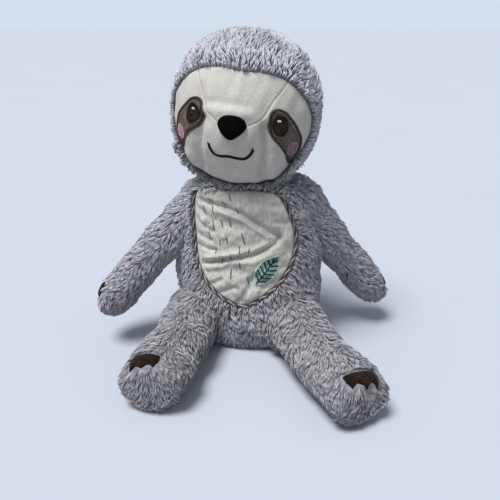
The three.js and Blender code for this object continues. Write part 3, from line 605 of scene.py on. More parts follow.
class Form:
    """A closed soft form: a grid of rings from one pole to the other, at the height of its cloth."""

    def __init__(self, body, coat, low_pole, high_pole, matrix, lumps=0, seed=None):
        self.body = body
        self.matrix = matrix
        low, high = np.array(low_pole, float), np.array(high_pole, float)
        axis = unit(high - low)
        self.points = coat - PILE * normals_of(coat, low, high)
        spread = np.linalg.norm(self.points - self.points.mean(axis=1, keepdims=True), axis=2)
        self.points = self.points[spread.mean(axis=1) > LEAST_RING]
        self.poles = np.array([low + axis * PILE, high - axis * PILE])
        self.normals = normals_of(self.points, *self.poles)
        if lumps:
            flat = self.points.reshape(-1, 3)
            height = lumps * waves(flat, LUMP_SIZE, seed).reshape(self.points.shape[:2])
            self.points = self.points + height[..., None] * self.normals
            middles = np.array([self.points[0].mean(axis=0), self.points[-1].mean(axis=0)])
            self.poles = middles + np.array([-1, 1])[:, None] * POLE_RISE * axis
            self.normals = normals_of(self.points, *self.poles)
        self.tree = None

    def world(self, points):
        return moved(points, self.matrix)

    def world_way(self, ways):
        return ways @ np.array(self.matrix)[:3, :3].T

    def closed(self, offset, every, change=None):
        """Vertices and faces of the closed skin, at a distance over the cloth."""
        offset = np.broadcast_to(offset, self.points.shape[:2])
        grid = (self.points + offset[..., None] * self.normals)[:: every[0], :: every[1]]
        axis = unit(self.poles[1] - self.poles[0])
        poles = self.poles + np.array([-1, 1])[:, None] * offset.mean() * axis
        if change is not None:
            grid = change(grid.reshape(-1, 3)).reshape(grid.shape)
            poles = change(poles)
        rings, sides = grid.shape[:2]
        vertices = np.vstack([poles[:1], grid.reshape(-1, 3), poles[1:]])
        first = 1 + np.arange(sides)
        last = first + (rings - 1) * sides
        bottom = np.stack([np.zeros(sides, int), np.roll(first, -1), first], axis=-1)
        top = np.stack([np.full(sides, len(vertices) - 1), last, np.roll(last, -1)], axis=-1)
        return vertices, [squares_of(rings, sides, 1), np.vstack([bottom, top])]

    def project(self, flat, height):
        """Places on the front of the cloth at (x, z), at heights over it, and the way out of it."""
        p, n = self.points.reshape(-1, 3), self.normals.reshape(-1, 3)
        if self.tree is None:
            self.squares = squares_of(*self.points.shape[:2])
            self.tree = BVHTree.FromPolygons(p.tolist(), self.squares.tolist())
        hits, squares = [], []
        for x, z in flat.tolist():
            place, _, index, _ = self.tree.ray_cast(Vector((x, RAY_START, z)), Vector((0, 1, 0)))
            if place is None:
                place, _, index, _ = self.tree.find_nearest(Vector((x, -PILE, z)))
            hits.append(tuple(place))
            squares.append(index)
        hits, corners = np.array(hits), self.squares[squares]
        away = np.linalg.norm(p[corners] - hits[:, None], axis=2)
        weight = 1 / (away**2 + NEAREST)
        out = unit(np.sum(n[corners] * weight[..., None], axis=1))
        return hits + np.asarray(height).reshape(-1, 1) * out, out

    def roots(self, density, keep):
        """Evenly scattered places on the cloth, and the ways out of it."""
        p = self.points
        a, b = p[:-1], np.roll(p, -1, axis=1)[:-1]
        c, d = p[1:], np.roll(p, -1, axis=1)[1:]
        area = 0.5 * np.linalg.norm(np.cross(d - a, c - b), axis=2).ravel()
        total = np.cumsum(area)
        count = int(total[-1] * density)
        at = (np.arange(count) + random.uniform(0, 1, count)) / count * total[-1]
        cell = np.minimum(np.searchsorted(total, at), len(area) - 1)
        s, t = random.uniform(0, 1, (2, count, 1))
        a, b, c, d = (g.reshape(-1, 3)[cell] for g in (a, b, c, d))
        place = (a * (1 - s) + b * s) * (1 - t) + (c * (1 - s) + d * s) * t
        good = keep(place)
        return place[good], self.normals[:-1].reshape(-1, 3)[cell][good]


def stations(shares, half_width, half_depth, low, high, count, rim=()):
    """Rings along a form, as half width, half depth and height, between its two poles."""
    points = [(w * half_width, d * half_depth, low + up * (high - low)) for up, w, d in shares]
    return curve_through(points + list(rim), count)[1:-1]


def ring_grid(places, sides, squareness=2):
    angle = np.linspace(0, 2 * math.pi, sides, endpoint=False)
    power = 2 / squareness
    cosine = np.sign(np.cos(angle)) * np.abs(np.cos(angle)) ** power
    sine = np.sign(np.sin(angle)) * np.abs(np.sin(angle)) ** power
    height = np.broadcast_to(places[:, 2:3], (len(places), sides))
    return np.stack([places[:, :1] * cosine, places[:, 1:2] * sine, height], axis=-1)


def torso_form():
    low, high = -FLAT_DEPTH, TORSO["height"]
    places = stations(TORSO_SHARES, TORSO["half_width"], TORSO["half_depth"], low, high, TORSO_GRID["rings"])
    coat = ring_grid(places, TORSO_GRID["sides"], TORSO["squareness"])
    return Form("torso", coat, (0, 0, low), (0, 0, high), Matrix.Identity(4), **TORSO_LUMPS)


def place_matrix(pivot, turns):
    matrix = Matrix.Translation(pivot)
    for axis, degrees in turns:
        matrix = matrix @ Matrix.Rotation(math.radians(degrees), 4, axis)
    return matrix


def arm_matrix(side, pose):
    pivot = (side * SHOULDER["across"], SHOULDER["back"], NECK - SHOULDER["below_neck"])
    return place_matrix(
        pivot, [("Y", -side * pose["spread"]), ("X", -pose["swing"]), ("Z", side * pose["twist"])]
    )


def leg_matrix(side, pose):
    pivot = (side * HIP["across"], pose["back"] - HIP["forward"], HIP["height"])
    return place_matrix(pivot, [("Z", side * pose["splay"]), ("X", -90)])


def limb_form(body, limb, shares, matrix, side, rests=False):
    """A limb with a ball for its root. One that rests lies level along its underside."""
    start = math.radians(DOME_START)
    ball, count = limb["ball"], LIMB_GRID["dome_rings"]
    rim = (ball * math.sin(start), ball * math.sin(start), ball * math.cos(start))
    shaft = stations(
        shares, limb["half_width"], limb["half_width"], -limb["length"], rim[2], LIMB_GRID["rings"], [rim]
    )
    angle = start * (1 - np.arange(count) / count)
    dome = np.stack([ball * np.sin(angle), ball * np.sin(angle), ball * np.cos(angle)], axis=1)
    places = np.vstack([shaft, dome])
    grid = ring_grid(places, LIMB_GRID["sides"])
    low = np.array([0, 0, -limb["length"]])
    if rests:
        half = np.maximum(places[:, 1], limb["half_width"] * LEAST_FOOT_SHARE)
        share = smooth_step(-places[:, 2], 0, ball)
        grid[..., 1] += ((ball - half) * share)[:, None]
        low = low + (0, ball - limb["half_width"] * LEAST_FOOT_SHARE, 0)
    form = Form(body, grid, low, (0, 0, ball), matrix, LIMB_LUMPS, limb["seed"] + side)
    form.tip = limb["length"]
    return form


def head_form():
    rings, sides = HEAD_GRID["rings"], HEAD_GRID["sides"]
    height = -np.cos(math.pi * np.arange(1, rings) / rings)
    round_to = {k: (1 - np.abs(height) ** power) ** (1 / power) for k, power in HEAD_ROUNDNESS.items()}
    low = height < 0
    wide = HEAD["half_width"] * np.where(low, round_to["wide_low"], round_to["wide"])
    front = HEAD["half_depth"] * np.where(low, round_to["front_low"], round_to["front"])
    back = HEAD["half_depth"] * round_to["back"]
    angle = np.linspace(0, 2 * math.pi, sides, endpoint=False)
    sine = np.sin(angle)
    x = wide[:, None] * np.cos(angle)
    y = np.where(sine < 0, front[:, None] * sine, back[:, None] * sine)
    z = np.broadcast_to((height * HEAD["half_height"])[:, None], x.shape)
    away = (x / MUZZLE["half_width"]) ** 2 + ((z + MUZZLE["drop"]) / MUZZLE["half_height"]) ** 2
    y = y - MUZZLE["bulge"] * np.clip(-y / HEAD["half_depth"], 0, 1) * np.exp(-away)
    centre = (HEAD["aside"], -HEAD["forward"], NECK + HEAD["above_neck"])
    matrix = place_matrix(centre, [("Z", HEAD_TURN), ("Y", HEAD_TILT)])
    top = HEAD["half_height"]
    return Form("head", np.stack([x, y, z], axis=-1), (0, 0, -top), (0, 0, top), matrix)


# Materials


def linear(red, green, blue):
    """A colour as it is seen, 0 to 255, as the shader takes it."""
    share = [c / 255 for c in (red, green, blue)]
    return [s / 12.92 if s <= 0.04045 else ((s + 0.055) / 1.055) ** 2.4 for s in share] + [1]


SHEEN_ROUGHNESS = 0.5


class Nodes:
    """A material being built from nodes."""

    def __init__(self, name, roughness, sheen=0.0, gloss=0.25):
        self.material = bpy.data.materials.new(name)
        self.material.use_nodes = True
        self.tree = self.material.node_tree
        self.shader = self.tree.nodes["Principled BSDF"]
        self.shader.inputs["Roughness"].default_value = roughness
        self.shader.inputs["Specular IOR Level"].default_value = gloss
        self.shader.inputs["Sheen Weight"].default_value = sheen
        self.shader.inputs["Sheen Roughness"].default_value = SHEEN_ROUGHNESS
        self.place = self.add("TexCoord").outputs["Object"]

    def add(self, kind, **values):
        node = self.tree.nodes.new("ShaderNode" + kind)
        for name, value in values.items():
            setattr(node, name, value)
        return node

    def link(self, source, target):
        self.tree.links.new(source, target)

    def noise(self, size, detail=3, stretch=(1, 1, 1), turn=(0, 0, 0)):
        """Noise whose lumps are about that many millimetres across."""
        mapping = self.add("Mapping")
        mapping.inputs["Rotation"].default_value = [math.radians(a) for a in turn]
        mapping.inputs["Scale"].default_value = stretch
        noise = self.add("TexNoise")
        noise.inputs["Scale"].default_value = 1 / (size * MM)
        noise.inputs["Detail"].default_value = detail
        self.link(self.place, mapping.inputs["Vector"])
        self.link(mapping.outputs["Vector"], noise.inputs["Vector"])
        return noise.outputs["Fac"]

    def ramp(self, factor, stops):
        ramp = self.add("ValToRGB")
        elements = ramp.color_ramp.elements
        while len(elements) < len(stops):
            elements.new(0.5)
        for element, (at, colour) in zip(elements, stops):
            element.position = at
            element.color = colour
        self.link(factor, ramp.inputs["Fac"])
        return ramp.outputs["Color"]

    def mix(self, factor, first, second, blend="MIX"):
        mix = self.add("Mix", data_type="RGBA", blend_type=blend)
        for socket, value in zip((mix.inputs[0], mix.inputs[6], mix.inputs[7]), (factor, first, second)):
            if isinstance(value, bpy.types.NodeSocket):
                self.link(value, socket)
            else:
                socket.default_value = value
        return mix.outputs[2]

    def times(self, first, second):
        return self.mix(1.0, first, second, "MULTIPLY")

    def bump(self, height, depth):
        bump = self.add("Bump")
        bump.inputs["Strength"].default_value = 1
        bump.inputs["Distance"].default_value = depth * MM
        self.link(height, bump.inputs["Height"])
        if self.shader.inputs["Normal"].links:
            self.link(self.shader.inputs["Normal"].links[0].from_socket, bump.inputs["Normal"])
        self.link(bump.outputs["Normal"], self.shader.inputs["Normal"])

    def coat(self, colour):
        self.link(colour, self.shader.inputs["Base Color"])
        return self.material


def grey(value):
    return (value, value, value, 1)


def tones(stops):
    return [(at, linear(*colour)) for at, colour in stops]


def strands_material(name, stops, roughness, sheen, spread, warm):
    """Fur or thread, whose colour runs along each strand and differs from strand to strand."""
    n = Nodes(name, roughness, sheen)
    place = n.add("UVMap", uv_map="OFBake")
    split = n.add("SeparateXYZ")
    n.link(place.outputs["UV"], split.inputs["Vector"])
    colour = n.ramp(split.outputs["Y"], tones(stops))
    column = n.add("Math", operation="MULTIPLY")
    column.inputs[1].default_value = SHADES
    n.link(split.outputs["X"], column.inputs[0])
    whole = n.add("Math", operation="FLOOR")
    n.link(column.outputs[0], whole.inputs[0])
    share = n.add("Math", operation="DIVIDE")
    share.inputs[1].default_value = SHADES - 1
    n.link(whole.outputs[0], share.inputs[0])
    shade = n.ramp(share.outputs[0], [(0, grey(1 - spread)), (1, grey(1))])
    chance = n.add("TexWhiteNoise", noise_dimensions="1D")
    n.link(whole.outputs[0], chance.inputs["W"])
    tinted = n.mix(chance.outputs["Value"], grey(1), linear(*warm))
    return n.coat(n.times(n.times(colour, shade), tinted))


def backing_material():
    n = Nodes("fur_backing", **BACKING_LOOK)
    lumps = n.noise(BACKING_LUMPS["size"], BACKING_LUMPS["detail"])
    n.bump(lumps, BACKING_LUMPS["depth"])
    # Darker where the lumps are low: painted shade in their hollows
    return n.coat(n.ramp(lumps, tones(BACKING_SHADED_TONES)))


def velour_material(name, colour, shadow, sheen, ribs=None, pile=0.3, gloss=0.25, speckle_and_shade=0.14, grain=1.3):
    n = Nodes(name, VELOUR["roughness"], sheen, gloss)
    mottle = n.noise(VELOUR["mottle"], VELOUR["mottle_detail"])
    fine = n.noise(grain)
    n.bump(fine, pile)
    tone = n.ramp(mottle, tones(zip(VELOUR["mottle_stops"], (shadow, colour))))
    # The pile is darker where its fine bump is low: its own speckle, and painted shade in its hollows
    low, high = VELOUR["speck_and_shade_stops"]
    tone = n.times(tone, n.ramp(fine, [(low, grey(1 - speckle_and_shade)), (high, grey(1))]))
    if ribs:
        brushed = n.noise(ribs, VELOUR["rib_detail"], VELOUR["rib_stretch"], VELOUR["rib_turn"])
        n.bump(brushed, VELOUR["rib_depth"])
        # The ribs are darker where their bump is low: painted shade in their grooves
        low, high = VELOUR["rib_stops"]
        tone = n.times(tone, n.ramp(brushed, [(low, grey(VELOUR["rib_shade"])), (high, grey(1))]))
    return n.coat(tone)


def thread_material(name, colour, spread=0.3):
    # Both ends of a stitch are painted darker: painted shade where the thread sinks into the cloth
    dark = [c * THREAD_END_SHADE_SHARE for c in colour]
    low, high = THREAD_ENDS
    stops = [(0, dark), (low, colour), (high, colour), (1, dark)]
    return strands_material(name, stops, spread=spread, **THREAD_LOOK)


FUR = strands_material("fur", FUR_STOPS, **FUR_LOOK)
BACKING = backing_material()
cloths = {name: velour_material(name, **look) for name, look in CLOTHS.items()}
threads = {name: thread_material(name, **look) for name, look in THREADS.items()}

# Fur

# How wide a strand is along its length, and how it rises, droops, leans, gathers and sways
STRAND_STEP_SHARES = np.array([0, 0.3, 0.68, 1])
STRAND_WIDTH_SHARES = np.array([0, 1, 0.86, 0])
STRAND_SIDES = 3
STRAND = dict(root=1.0, rise_power=1.9, droop=0.22, lean_power=1.35, pull_power=1.4, sway_turn=4.4)
# How much clumps, and the strands in them, differ from each other, as shares
CLUMP_SHARES = dict(lean=(0.75, 1.25), rise=(0.65, 1.25), strand=(0.88, 1.12), width=(0.8, 1.2))
SHADE_SPREADS = dict(clump=0.12, strand=0.09, most=0.999)


def tangent(ways, outs):
    return unit(ways - np.sum(ways * outs, axis=1, keepdims=True) * outs)


def turned(ways, outs, degrees):
    a = np.radians(degrees)[:, None]
    return ways * np.cos(a) + np.cross(outs, ways) * np.sin(a)


def strands(places, outs, flow, lean, rise, width, in_clump, pull, seed, stray, pale_and_lit):
    """Lines, widths and shades of strands that gather in clumps, in the form's own frame."""
    own = np.random.default_rng(seed)
    n = len(places)
    clumps = max(1, int(n / in_clump))
    centre = own.choice(n, clumps, replace=False)
    tree = KDTree(clumps)
    for i, p in enumerate(places[centre].tolist()):
        tree.insert(p, i)
    tree.balance()
    member = np.array([tree.find(p)[1] for p in places.tolist()])

    def varied(kind):
        of_clump = own.uniform(*CLUMP_SHARES[kind], clumps)[member]
        return of_clump * own.uniform(*CLUMP_SHARES["strand"], n)

    lean = lean * varied("lean")
    rise = (rise * varied("rise"))[:, None, None]
    swing = stray * (own.uniform(-1, 1, clumps)[member] + own.uniform(-0.5, 0.5, n))
    way = turned(flow, outs, swing)
    side = np.cross(outs, way)
    t = STRAND_STEP_SHARES[None, :, None]
    climb = 1 - (1 - t) ** STRAND["rise_power"]
    up = -STRAND["root"] + (rise + STRAND["root"]) * climb - STRAND["droop"] * rise * t**3
    phase = own.uniform(0, 2 * math.pi, clumps)[member][:, None, None]
    sway = np.sin(t * STRAND["sway_turn"] + phase) * t
    ahead = lean[:, None, None] * t ** STRAND["lean_power"] * way[:, None]
    lines = places[:, None] + up * outs[:, None] + ahead + sway * side[:, None]
    guide = lines[centre][member]
    lines = lines + pull * t ** STRAND["pull_power"] * (guide - lines)
    radii = width * own.uniform(*CLUMP_SHARES["width"], n)[:, None] * STRAND_WIDTH_SHARES
    # The clumps' mean tone, set higher or lower on some parts to paint the light and shade that fall there
    of_clump = own.normal(pale_and_lit, SHADE_SPREADS["clump"], clumps)[member]
    shade = np.clip(of_clump + own.normal(0, SHADE_SPREADS["strand"], n), 0, SHADE_SPREADS["most"])
    return lines, radii, side, shade


def fur_on(name, form, places, outs, ways, lean, rise, seed, width=0.4, in_clump=5, pull=0.5,
           floor=0.25, ceiling=None, stray=17, pale_and_lit=0.6):
    """Fur at the given places of a form. lean and rise are one number, or one for each place."""
    lean, rise = (np.broadcast_to(np.asarray(v, float), len(places)) for v in (lean, rise))
    lines, radii, side, shade = strands(
        places, outs, ways, lean, rise, width, in_clump, pull, seed, stray, pale_and_lit
    )
    shape = lines.shape
    lines = form.world(lines.reshape(-1, 3)).reshape(shape)
    lines[..., 2] = np.maximum(lines[..., 2], radii + floor)
    if ceiling is not None:
        lines[..., 2] = np.minimum(lines[..., 2], ceiling - radii)
    vertices, faces, uv = tubes(lines, radii, form.world_way(side), STRAND_SIDES, shade)
    return new_piece(name, vertices, faces, FUR, form.body, uv=uv)


FAR_SIDE = 100  # added to distances on the back, where an edge on the front has no say
TOWARDS_SPREAD = 0.7


def fur_piece(name, form, keep, flow, density, lean, rise, edge=None, low=None, reach=None,
              tall=1.15, only_towards=False, low_tip=0, **more):
    """Fur all over a form. Towards an edge of the fur the strands stand up, or bend over it."""
    places, outs = form.roots(density, keep)
    lean, rise = np.full(len(places), float(lean)), np.full(len(places), float(rise))
    ways = flow(places, outs)
    if low_tip:
        down = smooth_step(-places[:, 2], TIP_FUR["start"], form.tip * TIP_FUR["end_share"])
        lean = lean * (1 - TIP_FUR["lean_share"] * down)
        rise = rise * (1 - low_tip * down)
    if edge is not None:
        back = FAR_SIDE * (places[:, 1] > 0)
        away = distance_to(places[:, [0, 2]], edge, True) + back
        near = 1 - smooth_step(away, 0, reach)
        if only_towards:
            ahead = distance_to((places + ways)[:, [0, 2]], edge, True) + back
            near = near * smooth_step(away - ahead, 0, TOWARDS_SPREAD)
        lean = lean * (1 - (1 - low) * near)
        rise = rise * (1 + (tall - 1) * near)
    return fur_on(name, form, places, outs, ways, lean, rise, **more)


# Panels and embroidery

NET_ROW_SHARE = 0.87  # of the spacing, from one row of triangles to the next
NET_CLEAR_SHARE = 0.55  # of the spacing, kept free along an edge
NET_TOUCH = 1e-6


def net(outline, spacing):
    """Points and triangles that fill an outline in the plane."""
    edge = dense(outline, spacing)
    edges = [(i, (i + 1) % len(edge)) for i in range(len(edge))]
    low, high = edge.min(axis=0), edge.max(axis=0)
    rows = int((high[1] - low[1]) / (spacing * NET_ROW_SHARE)) + 1
    columns = int((high[0] - low[0]) / spacing) + 1
    grid = np.array([
        (low[0] + (c + 0.5 * (r % 2)) * spacing, low[1] + r * spacing * NET_ROW_SHARE)
        for r in range(rows) for c in range(columns)
    ])
    clear = distance_to(grid, edge, True) > spacing * NET_CLEAR_SHARE
    flat = np.vstack([edge, grid[clear & inside(grid, edge)]])
    found = geometry.delaunay_2d_cdt([Vector(p) for p in flat.tolist()], edges, [], 0, NET_TOUCH)
    flat = np.array([tuple(p) for p in found[0]])
    triangles = np.array([f for f in found[2] if len(f) == 3])
    middle = flat[triangles].mean(axis=1)
    return flat, triangles[inside(middle, edge)]


def slab(form, flat, triangles, height, thickness):
    """A closed soft sheet on the front of a form, in the form's own frame."""
    used, triangles = np.unique(triangles, return_inverse=True)
    triangles = triangles.reshape(-1, 3)
    flat = flat[used]
    a, b, c = (flat[triangles[:, i]] for i in range(3))
    turn = (b[:, 0] - a[:, 0]) * (c[:, 1] - a[:, 1]) - (b[:, 1] - a[:, 1]) * (c[:, 0] - a[:, 0])
    triangles[turn < 0] = triangles[turn < 0][:, ::-1]
    high = height(flat)
    front, outs = form.project(flat, high)
    back = front - outs * (high + thickness)[:, None]
    sides = np.vstack([triangles[:, [0, 1]], triangles[:, [1, 2]], triangles[:, [2, 0]]])
    known = set(map(tuple, sides.tolist()))
    rim = np.array([s for s in sides.tolist() if (s[1], s[0]) not in known])
    n = len(flat)
    wall = np.stack([rim[:, 0], rim[:, 0] + n, rim[:, 1] + n, rim[:, 1]], axis=1)
    return np.vstack([front, back]), [np.vstack([triangles, triangles[:, ::-1] + n]), wall]


def panel_piece(name, form, outline, height, cloth, slot, spacing, thickness):
    vertices, faces = slab(form, *net(outline, spacing), height, thickness)
    return new_piece(name, vertices, faces, cloths[cloth], form.body, matrix=form.matrix)


def rolled(flat, edge, depth, width, closed=True):
    """How far a panel drops as it turns into its seam."""
    away = distance_to(flat, edge, closed)
    return -depth * (1 - np.minimum(away / width, 1)) ** 2


def cushioned(flat, outline, thick, rounding):
    """How high a pad stands, which is round towards its edge."""
    share = np.minimum(distance_to(flat, outline, True) / rounding, 1)
    return thick * (1 - (1 - share) ** 2) ** 0.5


THREAD_SIDES = 4
THREAD_POINTS = 5
THREAD_SHADES = dict(shades=(0.6, 0.18), seed=5)
TUCK = 0.35  # how deep both ends of a stitch lie in the cloth
FILL = dict(
    seed=7, outline_spacing=0.5, step=0.25, shortest=0.5, rows=3, first_share=0.4, row_share=0.3,
    last_share=0.35, jitter=0.3, jitter_share=0.3, overlap=0.15,
)
SLANT_SHARES = dict(closed=0.35, open=0.7)
RUN_SHARE = 0.5  # of a stitch, from its start to the start of the next in its line


def stitches(kind, form, surface, starts, ends, seed=THREAD_SHADES["seed"], count=THREAD_POINTS):
    """Threads of a kind from place to place on the front of a form, over the surface there."""
    look = STITCHES[kind]
    t = np.linspace(0, 1, count)
    flat = starts[:, None] * (1 - t[:, None]) + ends[:, None] * t[:, None]
    arch = np.sin(math.pi * t) ** 0.5
    lift = (look["lift"] + TUCK) * arch - TUCK
    plane = flat.reshape(-1, 2)
    high = surface(plane) + look.get("over", 0) + np.tile(lift, len(starts))
    places, outs = form.project(plane, high)
    lines = form.world(places).reshape(len(starts), count, 3)
    outs = form.world_way(outs).reshape(lines.shape)
    along = unit(lines[:, -1] - lines[:, 0])
    across = np.cross(outs, along[:, None])
    radii = np.full((len(starts), count), look["width"] / 2)
    middle, spread = look.get("shades", THREAD_SHADES["shades"])
    shades = np.random.default_rng(seed).normal(middle, spread, len(starts))
    return tubes(lines, radii, across, THREAD_SIDES, np.clip(shades, 0, SHADE_SPREADS["most"]))


def fill_threads(outline, degrees, spacing, length):
    """Starts and ends of parallel stitches that fill an outline, laid like bricks."""
    own = np.random.default_rng(FILL["seed"])
    a = math.radians(degrees)
    along, across = np.array([math.cos(a), math.sin(a)]), np.array([-math.sin(a), math.cos(a)])
    shape = dense(outline, FILL["outline_spacing"])
    u, v = shape @ along, shape @ across
    steps = np.arange(u.min(), u.max(), FILL["step"])
    starts, ends = [], []
    for row, level in enumerate(np.arange(v.min() + spacing / 2, v.max(), spacing)):
        within = inside(steps[:, None] * along + level * across, shape)
        marks = np.flatnonzero(np.diff(np.r_[0, within.astype(int), 0]))
        for first, last in zip(marks[::2], marks[1::2] - 1):
            low, high = steps[first], steps[last]
            if high - low < FILL["shortest"]:
                continue
            start_share = FILL["first_share"] + FILL["row_share"] * (row % FILL["rows"])
            cuts = np.arange(low + length * start_share, high - length * FILL["last_share"], length)
            moves = own.uniform(-FILL["jitter"], FILL["jitter"], len(cuts))
            stops = np.r_[low, cuts + moves * length * FILL["jitter_share"], high]
            for x, y in zip(stops[:-1], stops[1:]):
                starts.append((x - FILL["overlap"]) * along + level * across)
                ends.append((y + FILL["overlap"]) * along + level * across)
    return np.array(starts), np.array(ends)


def cross_threads(line, width, spacing, closed):
    """Starts and ends of short slanting stitches across a line, one beside the other."""
    steps = np.roll(line, -1, axis=0) - line if closed else np.diff(line, axis=0)
    length = np.sum(np.linalg.norm(steps, axis=1))
    line = curve_through(line, int(length / spacing), closed)
    ahead = np.roll(line, -1, axis=0) - np.roll(line, 1, axis=0) if closed else np.gradient(line, axis=0)
    along = unit(ahead)
    lean = SLANT_SHARES["closed" if closed else "open"] * along
    slant = unit(np.stack([-along[:, 1], along[:, 0]], axis=1) + lean)
    return line - slant * width / 2, line + slant * width / 2


def run_threads(line, length):
    """Starts and ends of stitches along an open line, each a little over the one before."""
    along = lengths_along(line)
    at = np.arange(0, along[-1], length * RUN_SHARE)

    def places(distances):
        return np.stack([np.interp(distances, along, line[:, k]) for k in (0, 1)], axis=1)

    return places(at), places(np.minimum(at + length, along[-1]))


def filled(kind, form, surface, outline, side=1, turn=0):
    """Stitches that fill an outline."""
    look = STITCHES[kind]
    laid = fill_threads(outline, turn + side * look["slant"], look["spacing"], look["length"])
    return stitches(kind, form, surface, *laid)


def crossed(kind, form, surface, line, closed=False):
    """Stitches across a line."""
    look = STITCHES[kind]
    laid = cross_threads(line, look["across"], look["spacing"], closed)
    return stitches(kind, form, surface, *laid)


def thread_piece(name, body, thread, parts, node=None):
    vertices, faces, uv = joined(parts)
    piece = new_piece(name, vertices, faces, threads[thread], body, uv=uv)
    if node:
        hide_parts(node)


# How the forms meet

TREE_EVERY = (3, 3)
PRESSING = dict(step=1.5, most=70)


def tree_of(form, offset=0.0):
    vertices, faces = form.closed(offset, TREE_EVERY)
    triangles = np.vstack([faces[0][:, [0, 1, 2]], faces[0][:, [0, 2, 3]], faces[1]])
    return BVHTree.FromPolygons(form.world(vertices).tolist(), triangles.tolist())


def depth_in(tree, points):
    """How deep each place lies in a closed form, and how far out of it where negative."""
    depth = np.empty(len(points))
    for i, p in enumerate(points.tolist()):
        place, normal, _, _ = tree.find_nearest(p)
        depth[i] = (place - Vector(p)).dot(normal)
    return depth


def pressed(form, trees, gap):
    """Presses the cloth of a form in wherever another form lies in it."""
    grid = form.points.reshape(-1, 3).copy()
    ways = -form.normals.reshape(-1, 3)
    for tree in trees:
        deep = np.flatnonzero(depth_in(tree, form.world(grid)) > -gap)
        gone = 0
        while len(deep) and gone < PRESSING["most"]:
            grid[deep] += ways[deep] * PRESSING["step"]
            gone += PRESSING["step"]
            deep = deep[depth_in(tree, form.world(grid[deep])) > -gap]
    form.points = grid.reshape(form.points.shape)
    form.normals = normals_of(form.points, *form.poles)


def kept_above(form, level):
    """Lifts places of a form that lie under a level of the whole toy up to it."""
    back = np.linalg.inv(np.array(form.matrix))

    def change(points):
        world = form.world(points)
        world[:, 2] = np.maximum(world[:, 2], level)
        return moved(world, back)

    return change


def sunk(form, outline, depth, edge, before=0):
    """How far each place of a form's grid lies lower, under a panel on its front."""
    flat = form.points[..., [0, 2]].reshape(-1, 2)
    within = (form.points[..., 1].ravel() < before) & inside(flat, outline)
    drop = np.zeros(len(flat))
    drop[within] = depth * np.minimum(distance_to(flat[within], outline, True) / edge, 1)
    return -drop.reshape(form.points.shape[:2])


torso = torso_form()
head = head_form()
arms = {
    name: limb_form(f"arm_{name}", ARM, ARM_SHARES, arm_matrix(side, ARM_POSE[name]), side)
    for side, name in SIDES
}
legs = {
    name: limb_form(f"leg_{name}", LEG, LEG_SHARES, leg_matrix(side, LEG_POSE[name]), side, rests=True)
    for side, name in SIDES
}
torso_tree = tree_of(torso)
limb_trees = [tree_of(limb, PRESS) for limb in (*arms.values(), *legs.values())]
pressed(torso, limb_trees, CLEAR)

# Outlines on the front

POINTS = dict(face=240, seam=160, nose=72, panel_side=150, eye=150, mouth=120)
MIDDLE_GAP = 0.3  # nearer to the middle, both halves of an outline share their points


def closed_curve(shares, sizes, count):
    points = mirrored(scaled(shares, *sizes))
    return curve_through(points, count, True)


def forehead_seam():
    tall = FACE["top"] + FOREHEAD["nose_drop"]
    low_half = FOREHEAD["nose_half_width"]
    wide = FOREHEAD["top_half_width"] - low_half
    points = [(low_half + x * wide, z * tall - FOREHEAD["nose_drop"]) for x, z in FOREHEAD_SHARES]
    points.append((low_half, -FOREHEAD["nose_drop"]))
    seam = curve_through(points[::-1], POINTS["seam"])
    return seam[: np.flatnonzero(~inside(seam, face_outline))[0]]


def both_halves(right):
    """A closed outline from its right half, which starts and ends near the middle."""
    left = right[::-1] * (-1, 1)
    return np.vstack([right, left[np.abs(left[:, 0]) > MIDDLE_GAP]])


def panel_side(shares, side):
    tall = PANEL["top"] - PANEL["bottom"]
    points = [(side * x * PANEL["half_width"], PANEL["bottom"] + z * tall) for x, z in shares]
    return curve_through(points, POINTS["panel_side"])


def eye_outline(side):
    eye = scaled(EYE_SHARES, EYE["half_width"], EYE["up"], EYE["down"])
    points = [(EYE["middle"] + x, z) for x, z in eye]
    return curve_through(points, POINTS["eye"], True) * (side, 1)


def claw_outline(claws, limb, side, shares):
    middle, base = side * claws["outwards"], claws["from_tip"] - limb["length"]
    return np.array([(middle + x * claws["half_width"], base - z * claws["length"]) for x, z in shares])


face_outline = closed_curve(FACE_SHARES, (FACE["half_width"], FACE["top"], FACE["bottom"]), POINTS["face"])
seam = forehead_seam()
meets = np.argmin(np.linalg.norm(face_outline - seam[-1], axis=1))
bottom = len(face_outline) // 2
forehead_outline = both_halves(np.vstack([seam, face_outline[meets:0:-1]]))
cheek_outline = both_halves(np.vstack([seam, face_outline[meets + 1 : bottom + 1]]))
nose_outline = closed_curve(NOSE_SHARES, (NOSE["half_width"], NOSE["up"], NOSE["down"]), POINTS["nose"])
panel_left = panel_side(PANEL_LEFT_SHARES, 1)
panel_right = panel_side(PANEL_RIGHT_SHARES, -1)
panel_outline = np.vstack([panel_left, panel_right[:0:-1]])

# Heights of the velour over its cloth


def grooves(flat, lines):
    """Soft creases: each line with its depth and its half width."""
    height = np.zeros(len(flat))
    for line, depth, width in lines:
        height -= depth * np.exp(-((distance_to(flat, line) / width) ** 2))
    return height


def face_height(flat):
    height = lumps_on(flat, FACE_LUMPS) + grooves(flat, FACE_CREASES)
    away = distance_to(flat, NOSE_RIDGE) / NOSE_RIDGE_SIZE["half_width"]
    return height + NOSE_RIDGE_SIZE["height"] * np.exp(-(away**2))


def belly_height(flat):
    height = lumps_on(flat, BELLY_LUMPS) + grooves(flat, BELLY_CREASES)
    height += grooves(flat, BELLY_RIDGES)
    return height * smooth_step(distance_to(flat, panel_outline, True), 0, BELLY_FADE)


# Covers and fillings


